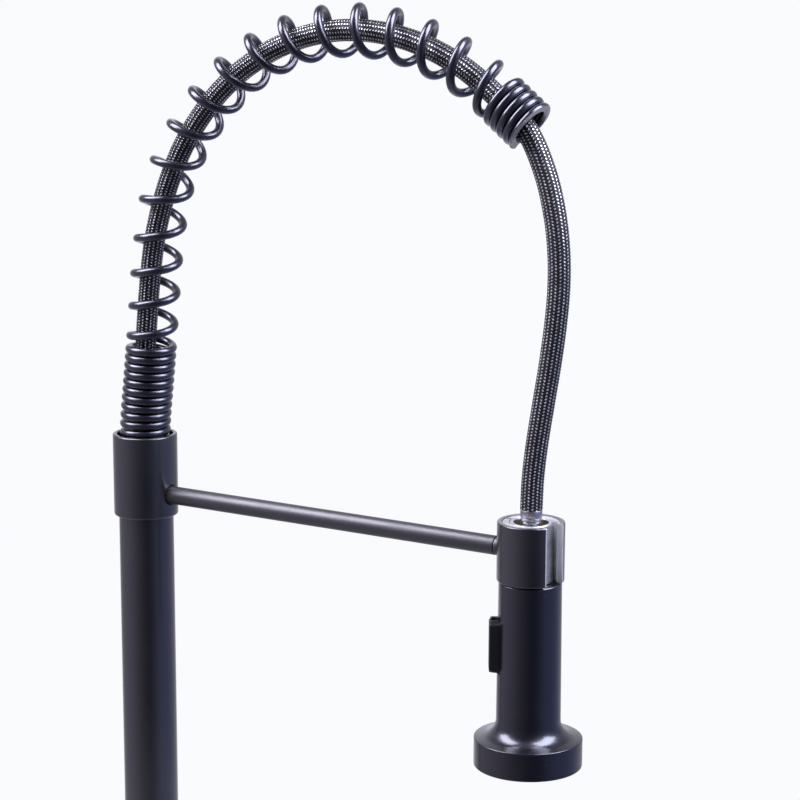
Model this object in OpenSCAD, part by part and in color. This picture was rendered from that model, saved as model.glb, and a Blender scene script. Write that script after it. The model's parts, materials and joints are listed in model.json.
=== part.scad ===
// Pull-down kitchen faucet with an exposed spring, a docking arm and a bell-shaped spray head.
// Origin: centre of the base on the worktop. +Z is up, the spout reaches towards -Y, the lever is on +X.

/* [Worktop mounting] */
// Thickness of the worktop that is clamped
deck_gap = 30; // [15:1:38]
// Outside diameter of the base flange
flange_d = 54; // [50:0.5:62]
// Height of the base flange
flange_h = 6; // [5:0.5:9]
// Outside diameter of the threaded shank
shank_d = 32; // [30:0.5:34]
// Wall of the shank
shank_wall = 3; // [2:0.25:4]
// How far the shank reaches below the worktop's face
shank_drop = 62; // [58:1:80]
// Thickness of the rubber washer
rubber_t = 3; // [2:0.5:5]
// Thickness of the steel washer
steel_t = 1.6; // [1:0.2:3]
// Width across the flats of the mounting nut
nut_af = 44; // [43:1:48]
// Height of the mounting nut
nut_h = 10; // [8:1:14]

/* [Body and valve] */
// Diameter of the body
body_d = 45; // [43:0.5:48]
// Height of the body's shoulder above the worktop
body_h = 90; // [82:1:110]
// Height of the valve's axis
valve_z = 45; // [42:1:52]
// Diameter of the valve's side boss
boss_d = 38; // [36:0.5:40]
// Reach of the side boss from the body's axis
boss_reach = 40; // [38:1:46]
// Diameter of the cartridge's seat
seat_d = 27.4; // [26:0.2:28]
// Largest tilt of the lever
lever_tilt = 25; // [15:1:25]
// Diameter of the lever's rod
lever_d = 8; // [6:0.5:9]
// Distance from the valve's axis to the rod's tip
lever_len = 70; // [60:1:110]
// Length of the lever's hub
hub_len = 22; // [21:0.5:26]

/* [Riser and collar] */
// Outside diameter of the riser tube
riser_d = 28; // [27.5:0.25:30]
// Wall of the riser tube
riser_wall = 1.5; // [1:0.25:2]
// Length of the riser tube
riser_len = 225; // [140:1:260]
// Outside diameter of the spring's collar
collar_d = 33; // [33:0.5:36]
// Height of the collar
collar_h = 42.5; // [40:0.5:50]
// Depth of the riser's seat in the collar
riser_seat = 19.75; // [17:0.25:24]
// Depth of the spring's pocket in the collar
pocket_depth = 13; // [9:0.5:15]

/* [Arm and dock] */
// Distance from the riser's axis to the dock's axis
reach = 225; // [224:0.5:226]
// Diameter of the arm
arm_d = 9.2; // [8:0.2:10]
// Drop of the arm's axis below the collar's top
arm_drop = 30.8; // [29:0.2:33]
// Outside diameter of the dock
dock_d = 31.9; // [31.7:0.1:34]
// Height of the dock
dock_h = 28.5; // [26:0.5:30]
// Wall of the dock's painted shell
dock_wall = 2.4; // [2:0.1:2.6]
// Width of the slot that lets the hose in
slot_w = 11; // [10.8:0.1:12]
// Turn of the slot away from the arm's line
slot_turn = 14; // [0:1:30]

/* [Spring] */
// Diameter of the spring's wire
wire_d = 4.2; // [3.8:0.1:4.25]
// Outside diameter of the spring
spring_d = 26.2; // [26:0.1:27]
// Pitch of the closed turns
closed_pitch = 4.25; // [4.25:0.01:4.4]
// Closed turns above the seat
closed_turns = 13.25; // [12:0.05:14]
// Open turns of the arch
open_turns = 16.95; // [16:0.05:18]
// Closed turns at the free end
end_turns = 4.7; // [3:0.05:6]
// Pitch where the arch begins
rise_pitch = 15.7; // [14:0.1:18]
// Pitch over the crown
crown_pitch = 19.8; // [18:0.1:21]

/* [Hose] */
// Diameter of the braided hose
hose_d = 10.6; // [9.5:0.1:10.8]
// Diameter of the crimped ferrule
ferrule_d = 10.4; // [9.8:0.1:10.6]
// Height of the ferrule
ferrule_h = 5.2; // [4:0.1:7]
// How far the ferrule's foot stands above the dock
ferrule_lift = 0.6; // [0.4:0.1:2]

/* [Spray head] */
// Diameter of the docking nose at its top
nose_d = 20; // [19.6:0.1:20.4]
// Diameter of the docking nose at its foot
nose_low_d = 21.5; // [21:0.1:22]
// Diameter of the recess round the hose in the nose
recess_d = 16.4; // [14:0.1:17]
// Length of the spray head
head_len = 90; // [84:0.5:100]
// Diameter of the grip at the top
grip_d = 29.8; // [29:0.1:31]
// Diameter of the grip where the bell begins
grip_low_d = 30.8; // [30:0.1:32]
// Diameter of the bell
bell_d = 51.7; // [50:0.1:56]
// Height of the bell's band
bell_h = 13.6; // [12:0.1:16]
// Radius of the cove between the grip and the bell
cove_r = 7.5; // [6:0.1:7.6]
// Wall of the head's shell
shell_wall = 2.3; // [2:0.1:2.6]
// Turn of the rocker about the head, from the column's side
rocker_turn = 31; // [-60:1:60]
// Length of the rocker's pad
pad_len = 24.3; // [22:0.1:28]
// Width of the rocker's pad
pad_w = 10.6; // [9:0.1:11]
// How far the pad stands proud of the grip
pad_proud = 4.1; // [3:0.1:5]
// How far the pad can be pressed
pad_tilt = 5; // [3:0.5:5]

/* [Hidden] */
$fn = 96;

// Colours
black_paint = [0.07, 0.07, 0.08];
black_plastic = [0.1, 0.1, 0.11];
braid_black = [0.13, 0.13, 0.14];
bright_metal = [0.75, 0.75, 0.77];
brass = [0.78, 0.62, 0.33];
steel = [0.62, 0.63, 0.65];
rubber = [0.15, 0.15, 0.15];
pale_plastic = [0.85, 0.85, 0.82];
silicone_grey = [0.35, 0.35, 0.37];

// Clearances
skin = 0.05;        // radial gap of a running fit, and between seated pieces of one body
play = 0.3;         // gap between pieces of different bodies
eps = 0.01;         // overshoot of a cut

// Base and worktop
body_sink = 1.5;                          // seat of the body in the flange
body_z = flange_h - body_sink;
gasket_groove = 1.6;
gasket_w = 4.6;
gasket_edge = 2.2;                        // flange left outside the gasket
shank_seat = 12;                          // thread in the body
shank_top = body_z + shank_seat;
washer_w = 9;                             // ring width of the two washers
jack_gap = 4;                             // room between the washers and the nut
steel_z = -deck_gap - rubber_t - steel_t;
nut_z = steel_z - jack_gap - nut_h;
jack_d = 4;
jack_len = 22;
jack_ring = (shank_d / 2 + nut_af / 2) / 2 + 0.2;

// Body
body_round = 4;
inlet_r = 4.5;
inlet_len = 12;
inlet_off = 7;
port_d = 6;
port_drop = 7;                            // inlet ports below and the outlet above the valve's axis
outlet_d = 8;
seat_x = 16;
riser_in = riser_d - 2 * riser_wall;
spigot_d = riser_in - 2 * skin;
spigot_h = 42;
spigot_bore = 12;
groove_floor = 10.4;                      // radius at the floor of the seal grooves
ring_r = (riser_in / 2 - groove_floor - 2 * skin) / 2;
ring_w = 2 * ring_r + 0.5;
seal_z = [22, 34];                        // seal grooves above the shoulder
screw_z = 10;                             // retaining groove above the shoulder
screw_d = 5;
track_floor = 10.2;                       // radius at the floor of the retaining groove

// Valve
pivot_x = boss_reach + 4;                 // the lever tilts about this point
dome_r = boss_d / 2 - 0.5;
dome_wall = 1.9;
dome_open = 12;
skirt_depth = 4;
skirt_r = 16.4;
skirt_wall = 2;
nut_ring_len = 6;
carrier_r = 8.5;
carrier_x = 24;
carrier_nose = 6;                         // carrier beyond the pivot
stem_d = 8;
pin_d = 3;
hub_x = pivot_x + 6;
hub_end = hub_x + hub_len;
hub_cavity = dome_r + 0.4;
hub_edge = 1.5;
lever_x = pivot_x + 18;
stem_end = hub_end - 2;
plug_d = 6;
plug_seat = 2.2;                          // depth of the plug's pocket in the hub

// Riser, collar and the hose's fitting
glide_t = 1.2;
riser_z = body_h + glide_t + skin;
riser_top = riser_z + riser_len;
foot_d = riser_d + 4;
foot_h = 16;
collar_z = riser_top - riser_seat;
collar_top = collar_z + collar_h;
spring_z = collar_top - pocket_depth;
pocket_wall = 2.2;
arm_z = collar_top - arm_drop;
adapter_d = 14;
adapter_head = 19;
adapter_bore = 7;
crimp_d = 13;
crimp_len = 16;

// Dock
dock_z = arm_z - dock_h / 2;
dock_top = dock_z + dock_h;
liner_r = dock_d / 2 - dock_wall - skin;
liner_drop = 0.3;
end_ring_t = 2;
stud_d = 6;
nose_play = 0.3;                          // between the docking nose and the liner
seat_high = nose_d / 2 + nose_play;
seat_low = nose_low_d / 2 + nose_play;
relief_r = seat_low + 1.35;               // hollow beside the slot, for the hose
relief_w = 8.5;
stud_in = seat_low + 0.35;                // radius that the arm's stud reaches inside the dock
dock_screw_d = 1.9;
dock_screw_r = liner_r - dock_screw_d / 2 - 0.25;

// Spring
wire_r = wire_d / 2;
coil_r = (spring_d - wire_d) / 2;
wire_sides = 8;
ground = 1;                               // ground off the last turn
turn_steps = 16;
all_turns = closed_turns + open_turns + end_turns;
// [turn, pitch] along the wire
bend_pitch = 4.5;                         // lowest turns, where the spring leans out of the collar
close_again = closed_turns + open_turns;
pitch_by_turn = [[0, bend_pitch], [6, bend_pitch], [6.4, closed_pitch], [closed_turns - 0.4, closed_pitch],
    [closed_turns + 0.5, rise_pitch], [closed_turns + 2.6, rise_pitch + 1.7], [closed_turns + 3.8, crown_pitch],
    [close_again - 6, crown_pitch], [close_again - 3, crown_pitch - 1.9],
    [close_again - 0.7, crown_pitch - 1.9], [close_again + 0.2, closed_pitch]];
// [length along the spring above the collar, slope of its centreline in degrees]
slope_by_length = [[-9, 90], [16, 82.9], [76, 84.6], [110, 80], [150, 59.7], [215, 30.2], [300, -12.9],
    [342, -32.4], [357, -38.4]];
wire_start = -360 * (closed_turns + 0.15);

hose_end_z = dock_top + ferrule_lift + ferrule_h;
// Hose: [sideways, reach, height above the collar's top]
hose_points = [[0, 0, 8], [-0.4, 0.7, 18], [-1, 1.4, 30], [-1.5, 2.4, 43], [-1.55, 3.7, 57],
    [-1.5, 5.1, 71], [-1.4, 6.8, 85], [-1.2, 9, 99], [-0.9, 12.6, 113.5], [-0.5, 18.3, 130],
    [-0.2, 26.6, 147], [0, 37.8, 163], [0, 51.3, 177.2], [0, 66.8, 189], [0, 85.3, 198.7],
    [0, 104.5, 204.8], [0, 124, 207.3], [0, 144.1, 206.3], [0, 163.5, 201.9], [0, 181.8, 194.3],
    [0, 196, 185.6], [0, 209, 175.2], [0, 220.8, 163.6], [0, 229.4, 146.6], [0, 234.4, 129.5],
    [0, 237, 112.5], [0, 237.5, 95.5], [0, 236.2, 78], [0, 233.6, 58.5], [0, 230.4, 39],
    [0, 227.4, 20], [0, reach + 0.6, 4], [0, reach, hose_end_z + skin - collar_top]];
hose_sides = 12;
hose_steps = 2;

// Spray head
head_top = dock_z - play;
head_z = head_top - head_len;
grip_r = grip_d / 2;
grip_low_r = grip_low_d / 2;
bell_r = bell_d / 2;
land_rise = 1.2;
cap_t = 3;
cap_hole = 17.4;
nut_d = 15.4;
nut_bore = 12.5;
nut_top = dock_top - 6.5;
nut_lip = 6.7;
stem_neck = 9.4;
flange_t = 3;
washer_t = 2;
inlet_top = nut_top - nut_lip - flange_t - washer_t - 4 * skin;
spigot_in = 8;
diverter_bore = 13;
diverter_over = 7;                        // diverter's end above the rocker's pad
shell_r = grip_r - shell_wall;            // inside radius of the shell
plate_t = 2.2;
mat_t = 0.8;
plate_r = 23.8;
plate_z = head_z + 1.2;
mat_z = plate_z + plate_t;
core_z = mat_z + mat_t + skin;
chamber_r = 22.6;
aerator_d = 17.6;
aerator_z = head_z + 0.8;
aerator_h = 9;
nozzle_rings = [[12.4, 12], [16.2, 18], [20, 24]];   // radius and number of jets
pad_out = grip_r + pad_proud + 0.1;
pad_in = pad_out - 5;
pad_top = head_top - 19.6;
pad_z = pad_top - pad_len;
notch = 0.35;
nub_h = 1.9;
nub_w = 2.4;
rocker_x = 12.2;                          // pin of the rocker
rocker_z = pad_top - 3;
rocker_pin_d = 1.6;
rocker_pin_len = 14;
boss_in = 9.4;                            // radius where the rocker's boss begins
boss_w = pad_w + 5;

// ---------------------------------------------------------------- shared shapes

module ring(r_out, r_in, h) {
    difference() {
        cylinder(r = r_out, h = h);
        translate([0, 0, -eps]) cylinder(r = r_in, h = h + 2 * eps);
    }
}

// Ring with its outer edges broken by the chamfers low and high
module chamfered_ring(r_out, r_in, h, low, high) {
    rotate_extrude()
        polygon([[r_in, 0], [r_out - low, 0], [r_out, low], [r_out, h - high], [r_out - high, h], [r_in, h]]);
}

// Points on an arc, for profiles
function arc(cx, cy, r, from, to, n) =
    [for (i = [0:n]) let (a = from + (to - from) * i / n) [cx + r * cos(a), cy + r * sin(a)]];

// Rounded rectangle that stays true arcs
module rounded_rect(w, h, r) {
    square([w, h - 2 * r], center = true);
    square([w - 2 * r, h], center = true);
    for (x = [-1, 1], y = [-1, 1]) translate([x * (w / 2 - r), y * (h / 2 - r)]) circle(r = r);
}

// Axis of the valve: local Z runs out of the boss along +X
module on_valve(x) {
    translate([x, 0, valve_z]) rotate([0, 90, 0]) children();
}

// Axis of the arm: local Z runs from the riser to the dock
module on_arm(r) {
    translate([0, -r, arm_z]) rotate([90, 0, 0]) children();
}

module on_head() {
    translate([0, -reach, 0]) children();
}

// Rocker's side of the head: local X points outwards through the rocker
module on_rocker() {
    on_head() rotate([0, 0, 90 + rocker_turn]) children();
}

// ---------------------------------------------------------------- worktop mounting

module base_flange() {
    edge = 2.5;
    color(black_paint) difference() {
        rotate_extrude() polygon(concat([[shank_d / 2 + play, 0], [flange_d / 2 - 0.4, 0], [flange_d / 2, 0.4]],
            arc(flange_d / 2 - edge, flange_h - edge, edge, 0, 90, 8), [[shank_d / 2 + play, flange_h]]));
        translate([0, 0, body_z]) cylinder(d = body_d + 2 * skin, h = body_sink + eps);
        translate([0, 0, -eps])
            ring(flange_d / 2 - gasket_edge, flange_d / 2 - gasket_edge - gasket_w, gasket_groove + eps);
    }
}

module deck_gasket() {
    r = flange_d / 2 - gasket_edge - skin;
    color(rubber) ring(r, r - gasket_w + 2 * skin, gasket_groove - skin);
}

module threaded_shank() {
    color(brass) difference() {
        translate([0, 0, -shank_drop])
            chamfered_ring(shank_d / 2, shank_d / 2 - shank_wall, shank_drop + shank_top - skin, 1, 0.5);
    }
}

module rubber_washer() {
    color(rubber) translate([0, 0, -deck_gap - rubber_t])
        ring(shank_d / 2 + play + washer_w, shank_d / 2 + play, rubber_t);
}

module steel_washer() {
    color(steel) translate([0, 0, steel_z]) ring(shank_d / 2 + play + washer_w, shank_d / 2 + play, steel_t);
}

module mounting_nut() {
    color(brass) translate([0, 0, nut_z]) difference() {
        intersection() {
            cylinder(d = nut_af / cos(30), h = nut_h, $fn = 6);
            translate([0, 0, -0.01]) chamfered_ring(nut_af / cos(30) / 2 - 0.6, 1, nut_h + 0.02, 1.6, 1.6);
        }
        translate([0, 0, -eps]) cylinder(d = shank_d + 2 * skin, h = nut_h + 2 * eps);
        for (a = [0, 180]) rotate([0, 0, a]) translate([jack_ring, 0, -eps])
            cylinder(d = jack_d + 2 * skin, h = nut_h + 2 * eps);
    }
}

module clamp_screws() {
    head_d = 2 * (jack_ring - shank_d / 2) - 0.3;
    head_h = 3;
    slot = 1.2;
    color(steel) for (a = [0, 180]) rotate([0, 0, a]) translate([jack_ring, 0, steel_z - jack_len]) {
        cylinder(d = jack_d, h = jack_len);
        difference() {
            translate([0, 0, -head_h]) cylinder(d = head_d, h = head_h);
            translate([-head_d, -slot / 2, -head_h - eps]) cube([2 * head_d, slot, slot]);
        }
    }
}

// ---------------------------------------------------------------- body

module faucet_body() {
    r = body_d / 2;
    s = spigot_d / 2;
    color(black_paint) difference() {
        union() {
            rotate_extrude() polygon(concat([[0, body_z], [r - 0.4, body_z], [r, body_z + 0.4]],
                arc(r - body_round, body_h - body_round, body_round, 0, 90, 10),
                [[s, body_h], [s, body_h + spigot_h - 1], [s - 1, body_h + spigot_h], [0, body_h + spigot_h]]));
            on_valve(0) rotate_extrude()
                polygon([[0, 0], [boss_d / 2, 0], [boss_d / 2, boss_reach - 0.6],
                    [boss_d / 2 - 0.6, boss_reach], [0, boss_reach]]);
        }
        // cartridge seat and the dome's thread
        on_valve(seat_x) cylinder(d = seat_d, h = boss_reach);
        on_valve(boss_reach - skirt_depth) cylinder(r = skirt_r + skin, h = boss_reach);
        // shank's thread
        translate([0, 0, body_z - eps]) cylinder(d = shank_d + 2 * skin, h = shank_seat + eps);
        // inlets and their ports to the cartridge
        for (y = [-1, 1]) translate([0, y * inlet_off, 0]) {
            translate([0, 0, shank_top - eps]) cylinder(r = inlet_r, h = inlet_len + eps);
            translate([0, 0, shank_top]) cylinder(d = port_d, h = valve_z - port_drop - shank_top);
            translate([0, 0, valve_z - port_drop]) rotate([0, 90, 0]) cylinder(d = port_d, h = seat_x + eps);
        }
        // mixed water to the riser
        translate([0, 0, valve_z + port_drop]) rotate([0, 90, 0]) cylinder(d = outlet_d, h = seat_x + eps);
        translate([0, 0, valve_z + port_drop]) cylinder(d = spigot_bore, h = body_h + spigot_h);
        // seal grooves and the retaining groove of the swivel
        for (z = seal_z) translate([0, 0, body_h + z - ring_w / 2]) ring(s + 1, groove_floor, ring_w);
        translate([0, 0, body_h + screw_z - screw_d / 2 - play]) ring(s + 1, track_floor, screw_d + 2 * play);
    }
}

module spigot_o_rings() {
    color(rubber) for (z = seal_z) translate([0, 0, body_h + z])
        rotate_extrude() translate([groove_floor + ring_r + skin, 0]) circle(r = ring_r, $fn = 24);
}

// ---------------------------------------------------------------- valve and lever

module valve_cartridge() {
    r = seat_d / 2 - skin;
    neck = skirt_r - skirt_wall - 3;
    color(pale_plastic) difference() {
        union() {
            on_valve(seat_x + skin) cylinder(r = r, h = boss_reach - nut_ring_len - seat_x - 2 * skin);
            on_valve(seat_x + skin) cylinder(r = neck, h = boss_reach - seat_x - skin);
        }
        on_valve(carrier_x - skin) cylinder(r = carrier_r + skin, h = boss_reach);
    }
}

module cartridge_nut() {
    r = seat_d / 2 - skin;
    neck = skirt_r - skirt_wall - 3;
    color(brass) difference() {
        on_valve(boss_reach - nut_ring_len + skin) ring(r, neck + skin, nut_ring_len - 2 * skin);
        for (a = [0:60:300]) on_valve(boss_reach - 1.5) rotate([0, 0, a])
            translate([neck, -1, 0]) cube([4, 2, 2]);
    }
}

module valve_dome() {
    color(black_paint) difference() {
        union() {
            intersection() {
                on_valve(pivot_x) sphere(r = dome_r);
                on_valve(boss_reach + skin) cylinder(r = dome_r, h = 2 * dome_r);
            }
            on_valve(boss_reach - skirt_depth + skin) cylinder(r = skirt_r, h = skirt_depth + 1);
        }
        on_valve(pivot_x) sphere(r = dome_r - dome_wall);
        on_valve(pivot_x) cylinder(r = dome_open, h = 2 * dome_r);
        on_valve(boss_reach - skirt_depth - eps) cylinder(r = skirt_r - skirt_wall, h = skirt_depth + 3);
    }
}

module cartridge_carrier() {
    slot = stem_d + 0.4;
    floor_x = pivot_x - stem_d / 2 - 2 * play;
    color(pale_plastic) difference() {
        on_valve(carrier_x) cylinder(r = carrier_r, h = pivot_x + carrier_nose - carrier_x);
        translate([floor_x, -slot / 2, valve_z - carrier_r - 1]) cube([2 * carrier_r, slot, 2 * carrier_r + 2]);
        translate([pivot_x, 0, valve_z]) rotate([90, 0, 0]) cylinder(d = pin_d, h = 3 * carrier_r, center = true);
    }
}

module stem_pin() {
    color(steel) translate([pivot_x, 0, valve_z]) rotate([90, 0, 0])
        cylinder(d = pin_d - 2 * skin / 5, h = 2 * carrier_r - 1, center = true);
}

module valve_stem() {
    color(steel) difference() {
        union() {
            translate([pivot_x, 0, valve_z]) sphere(d = stem_d);
            on_valve(pivot_x) cylinder(d = stem_d, h = stem_end - pivot_x);
        }
        translate([pivot_x, 0, valve_z]) rotate([90, 0, 0]) cylinder(d = pin_d + 2 * skin, h = 2 * stem_d, center = true);
    }
}

module lever_hub() {
    r = boss_d / 2;
    color(black_paint) difference() {
        on_valve(hub_x) rotate_extrude() polygon(concat([[0, 0], [r - 0.3, 0], [r, 0.3]],
            arc(r - hub_edge, hub_len - hub_edge, hub_edge, 0, 90, 6), [[0, hub_len]]));
        on_valve(pivot_x) sphere(r = hub_cavity);
        on_valve(pivot_x) cylinder(d = stem_d + 2 * skin, h = stem_end - pivot_x + skin);
        // rod's socket and the grub screw with its plug
        translate([lever_x, 0, valve_z + r / 2]) cylinder(d = lever_d + 2 * skin, h = r);
        translate([hub_end - 6, 0, valve_z]) rotate([90, 0, 0]) cylinder(d = screw_d, h = r + 1);
        translate([hub_end - 6, plug_seat - r, valve_z]) rotate([90, 0, 0]) cylinder(d = plug_d, h = r);
    }
}

module lever_rod() {
    tip = lever_d / 2;
    z0 = boss_d / 4 + skin;
    color(black_paint) translate([lever_x, 0, valve_z]) rotate_extrude()
        polygon(concat([[0, z0], [tip - 0.5, z0], [tip, z0 + 0.5], [tip, lever_len - tip]],
            arc(0, lever_len - tip, tip, 10, 90, 8)));
}

module hub_screw() {
    r = boss_d / 2;
    color(steel) translate([hub_end - 6, -stem_d / 2 - 2 * skin, valve_z]) rotate([90, 0, 0]) difference() {
        cylinder(d = screw_d - 2 * skin, h = r - stem_d / 2 - 4.4);
        translate([0, 0, r - stem_d / 2 - 7]) cylinder(d = 2.5 / cos(30), h = 4, $fn = 6);
    }
}

module indicator_plug() {
    r = boss_d / 2;
    color("firebrick") translate([hub_end - 6, plug_seat - skin - r, valve_z]) rotate([90, 0, 0])
        cylinder(d = plug_d - 2 * skin, h = 1.9);
}

// ---------------------------------------------------------------- riser and collar

module glide_ring() {
    color(pale_plastic) translate([0, 0, body_h]) ring(foot_d / 2 - 0.4, spigot_d / 2 + 2 * skin, glide_t);
}

module riser_foot() {
    color(black_paint) difference() {
        translate([0, 0, riser_z]) chamfered_ring(foot_d / 2, riser_d / 2 + skin, foot_h, 0.4, 1);
        translate([0, 0, body_h + screw_z]) rotate([-90, 0, 0]) cylinder(d = screw_d, h = foot_d);
    }
}

module swivel_screw() {
    color(steel) translate([0, track_floor + play, body_h + screw_z]) rotate([-90, 0, 0]) difference() {
        cylinder(d = screw_d - 2 * skin, h = foot_d / 2 - track_floor - play - 0.6);
        translate([0, 0, foot_d / 2 - track_floor - play - 2.6]) cylinder(d = 2.5 / cos(30), h = 3, $fn = 6);
    }
}

module riser_tube() {
    color(black_paint) difference() {
        translate([0, 0, riser_z]) ring(riser_d / 2, riser_in / 2, riser_len);
        translate([0, 0, body_h + screw_z]) rotate([-90, 0, 0]) cylinder(d = screw_d, h = foot_d);
    }
}

module spring_collar() {
    r = collar_d / 2;
    b = riser_d / 2 + skin;
    pocket = r - pocket_wall;
    color(black_paint) difference() {
        rotate_extrude() polygon(concat([[b, collar_z + 0.4], [b + 0.4, collar_z]],
            arc(r - 1, collar_z + 1, 1, -90, 0, 5),
            [[r, collar_top - 0.8], [r - 0.8, collar_top], [pocket + 0.5, collar_top], [pocket, collar_top - 0.5],
            [pocket, spring_z], [adapter_d / 2, spring_z], [adapter_d / 2, riser_top + skin], [b, riser_top + skin]]));
        // arm's socket, with a countersunk mouth
        on_arm(b - 1) cylinder(d = arm_d + 2 * skin, h = r);
        on_arm(r - 0.9) cylinder(r1 = arm_d / 2, r2 = arm_d / 2 + 1.4, h = 1.4);
        translate([0, 0, arm_z]) rotate([-90, 0, 0]) cylinder(d = screw_d, h = 2 * r);
    }
}

module collar_screw() {
    color(steel) translate([0, riser_d / 2 + 2 * skin, arm_z]) rotate([-90, 0, 0]) difference() {
        cylinder(d = screw_d - 2 * skin, h = collar_d / 2 - riser_d / 2 - 0.5);
        translate([0, 0, 0.5]) cylinder(d = 2.5 / cos(30), h = 3, $fn = 6);
    }
}

module hose_adapter() {
    head_t = 4;
    color(brass) difference() {
        union() {
            translate([0, 0, riser_top - head_t]) cylinder(d = adapter_head, h = head_t);
            translate([0, 0, riser_top - eps]) cylinder(d = adapter_d - 2 * skin, h = spring_z - riser_top);
            translate([0, 0, spring_z - 1]) cylinder(d = crimp_d - 2, h = crimp_len - 2);
        }
        translate([0, 0, riser_top - head_t - eps]) cylinder(d = adapter_bore, h = crimp_len + 40);
        // seal groove in the head's upper face
        translate([0, 0, riser_top - 1.2]) ring(adapter_head / 2 - 0.4, adapter_d / 2 + 0.2, 2);
    }
}

module adapter_o_ring() {
    r = (adapter_head / 2 - 0.4 - adapter_d / 2 - 0.2) / 2 - skin;
    color(rubber) translate([0, 0, riser_top - 1.2 + skin])
        ring(adapter_d / 2 + 0.2 + 2 * r + skin, adapter_d / 2 + 0.2 + skin, 1.2 - skin);
}

module adapter_ferrule() {
    color(bright_metal) difference() {
        translate([0, 0, spring_z]) cylinder(d = crimp_d, h = collar_top + hose_points[0][2] - spring_z - skin);
        translate([0, 0, spring_z - eps]) cylinder(d = crimp_d - 2 + 2 * skin, h = crimp_len - 3 + 2 * skin);
        translate([0, 0, spring_z]) cylinder(d = adapter_bore, h = 2 * crimp_len);
    }
}

// ---------------------------------------------------------------- arm and dock

module support_arm() {
    start = riser_d / 2 + 3 * skin;
    stop = reach - dock_d / 2 - end_ring_t - 2 * skin;
    color(black_paint) union() {
        on_arm(start) rotate_extrude() polygon([[0, 0], [arm_d / 2 - 0.6, 0], [arm_d / 2, 0.6],
            [arm_d / 2, stop - start - 0.3], [arm_d / 2 - 0.3, stop - start], [0, stop - start]]);
        on_arm(stop - 1) cylinder(d = stud_d, h = reach - stud_in - stop + 1);
    }
}

module arm_end_ring() {
    // seats on the dock's round side
    color(black_paint) difference() {
        on_arm(reach - dock_d / 2 - end_ring_t)
            rotate_extrude() polygon([[stud_d / 2 + skin, 0], [arm_d / 2 - 0.3, 0], [arm_d / 2, 0.3],
                [arm_d / 2, end_ring_t + 1.5], [stud_d / 2 + skin, end_ring_t + 1.5]]);
        on_head() translate([0, 0, dock_z]) cylinder(d = dock_d + 2 * skin, h = dock_h);
    }
}

module dock_slot(from) {
    on_head() rotate([0, 0, -90 - slot_turn]) translate([from, -slot_w / 2, dock_z - 1])
        cube([dock_d, slot_w, dock_h + 2]);
}

module dock_ring() {
    color(black_paint) difference() {
        on_head() translate([0, 0, dock_z]) chamfered_ring(dock_d / 2, liner_r + skin, dock_h, 0.8, 0.5);
        dock_slot(0);
        on_arm(reach - dock_d) cylinder(d = stud_d + 2 * skin, h = dock_d);
    }
}

module dock_liner() {
    color(bright_metal) difference() {
        on_head() translate([0, 0, dock_z + liner_drop])
            rotate_extrude() polygon([[seat_low, 0], [liner_r, 0],
                [liner_r, dock_h - 2 * liner_drop], [seat_high, dock_h - 2 * liner_drop]]);
        dock_slot(0);
        // hollow on the far side of the slot
        intersection() {
            on_head() translate([0, 0, dock_z - 1]) cylinder(r = relief_r, h = dock_h + 2);
            on_head() rotate([0, 0, -90 - slot_turn]) translate([0, 0, dock_z - 1])
                cube([dock_d, relief_w, dock_h + 2]);
        }
        on_arm(reach - dock_d) cylinder(d = stud_d + 2 * skin, h = dock_d - stud_in + skin);
        on_head() translate([0, dock_screw_r, arm_z]) cylinder(d = dock_screw_d, h = dock_h);
    }
}

module dock_screw() {
    len = 8;
    color(steel) on_head() translate([0, dock_screw_r, arm_z + stud_d / 2 + skin]) difference() {
        cylinder(d = dock_screw_d - 2 * skin, h = len);
        translate([0, 0, len - 1.2]) cylinder(d = 1.3 / cos(30), h = 2, $fn = 6);
    }
}

// ---------------------------------------------------------------- spring

function turn_pitch(n) = lookup(n, pitch_by_turn);
function slope(s) = lookup(s, slope_by_length);

// Centreline of the spring, one station per step of the wire: [length above the collar, reach, height]
spring_line = [for (i = 0, s = -pocket_depth + wire_r, y = 0, z = spring_z + wire_r;
    i <= all_turns * turn_steps;
    ds = turn_pitch(i / turn_steps) / turn_steps, y = y + ds * cos(slope(s + ds / 2)),
    z = z + ds * sin(slope(s + ds / 2)), s = s + ds, i = i + 1) [s, y, z]];

// One ring of points round the wire
function wire_ring(i) = let (
    p = spring_line[i],
    a = slope(p[0]),
    along = [0, -cos(a), sin(a)],
    out = [0, sin(a), cos(a)],
    side = [-1, 0, 0],
    t = wire_start + 360 * i / turn_steps,
    radial = cos(t) * out + sin(t) * side,
    sweep = cos(t) * side - sin(t) * out,
    rise = turn_pitch(i / turn_steps),
    lean = atan2(rise, 2 * PI * coil_r),
    across = cos(lean) * along - sin(lean) * sweep,
    centre = [0, -p[1], p[2]] + coil_r * radial)
    [for (k = [0:wire_sides - 1]) let (b = 360 * k / wire_sides)
        centre + wire_r * (cos(b) * radial + sin(b) * across)];

// Closed tube through a list of point rings
module skinned_tube(rings, sides) {
    n = len(rings);
    polyhedron(points = [for (r = rings) each r], faces = concat(
        [[for (k = [0:sides - 1]) k]],
        [[for (k = [0:sides - 1]) (n - 1) * sides + sides - 1 - k]],
        [for (i = [0:n - 2], k = [0:sides - 1]) let (a = i * sides + k, b = i * sides + (k + 1) % sides)
            each [[a, a + sides, b], [b, a + sides, b + sides]]]));
}

module coil_spring() {
    end = spring_line[len(spring_line) - 1];
    color(black_paint) difference() {
        skinned_tube([for (i = [0:len(spring_line) - 1]) wire_ring(i)], wire_sides);
        // last turn ground flat
        translate([0, -end[1], end[2]]) rotate([90 - slope(end[0]), 0, 0])
            translate([-spring_d, -spring_d, -ground]) cube(2 * spring_d);
    }
}

// ---------------------------------------------------------------- hose

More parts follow.
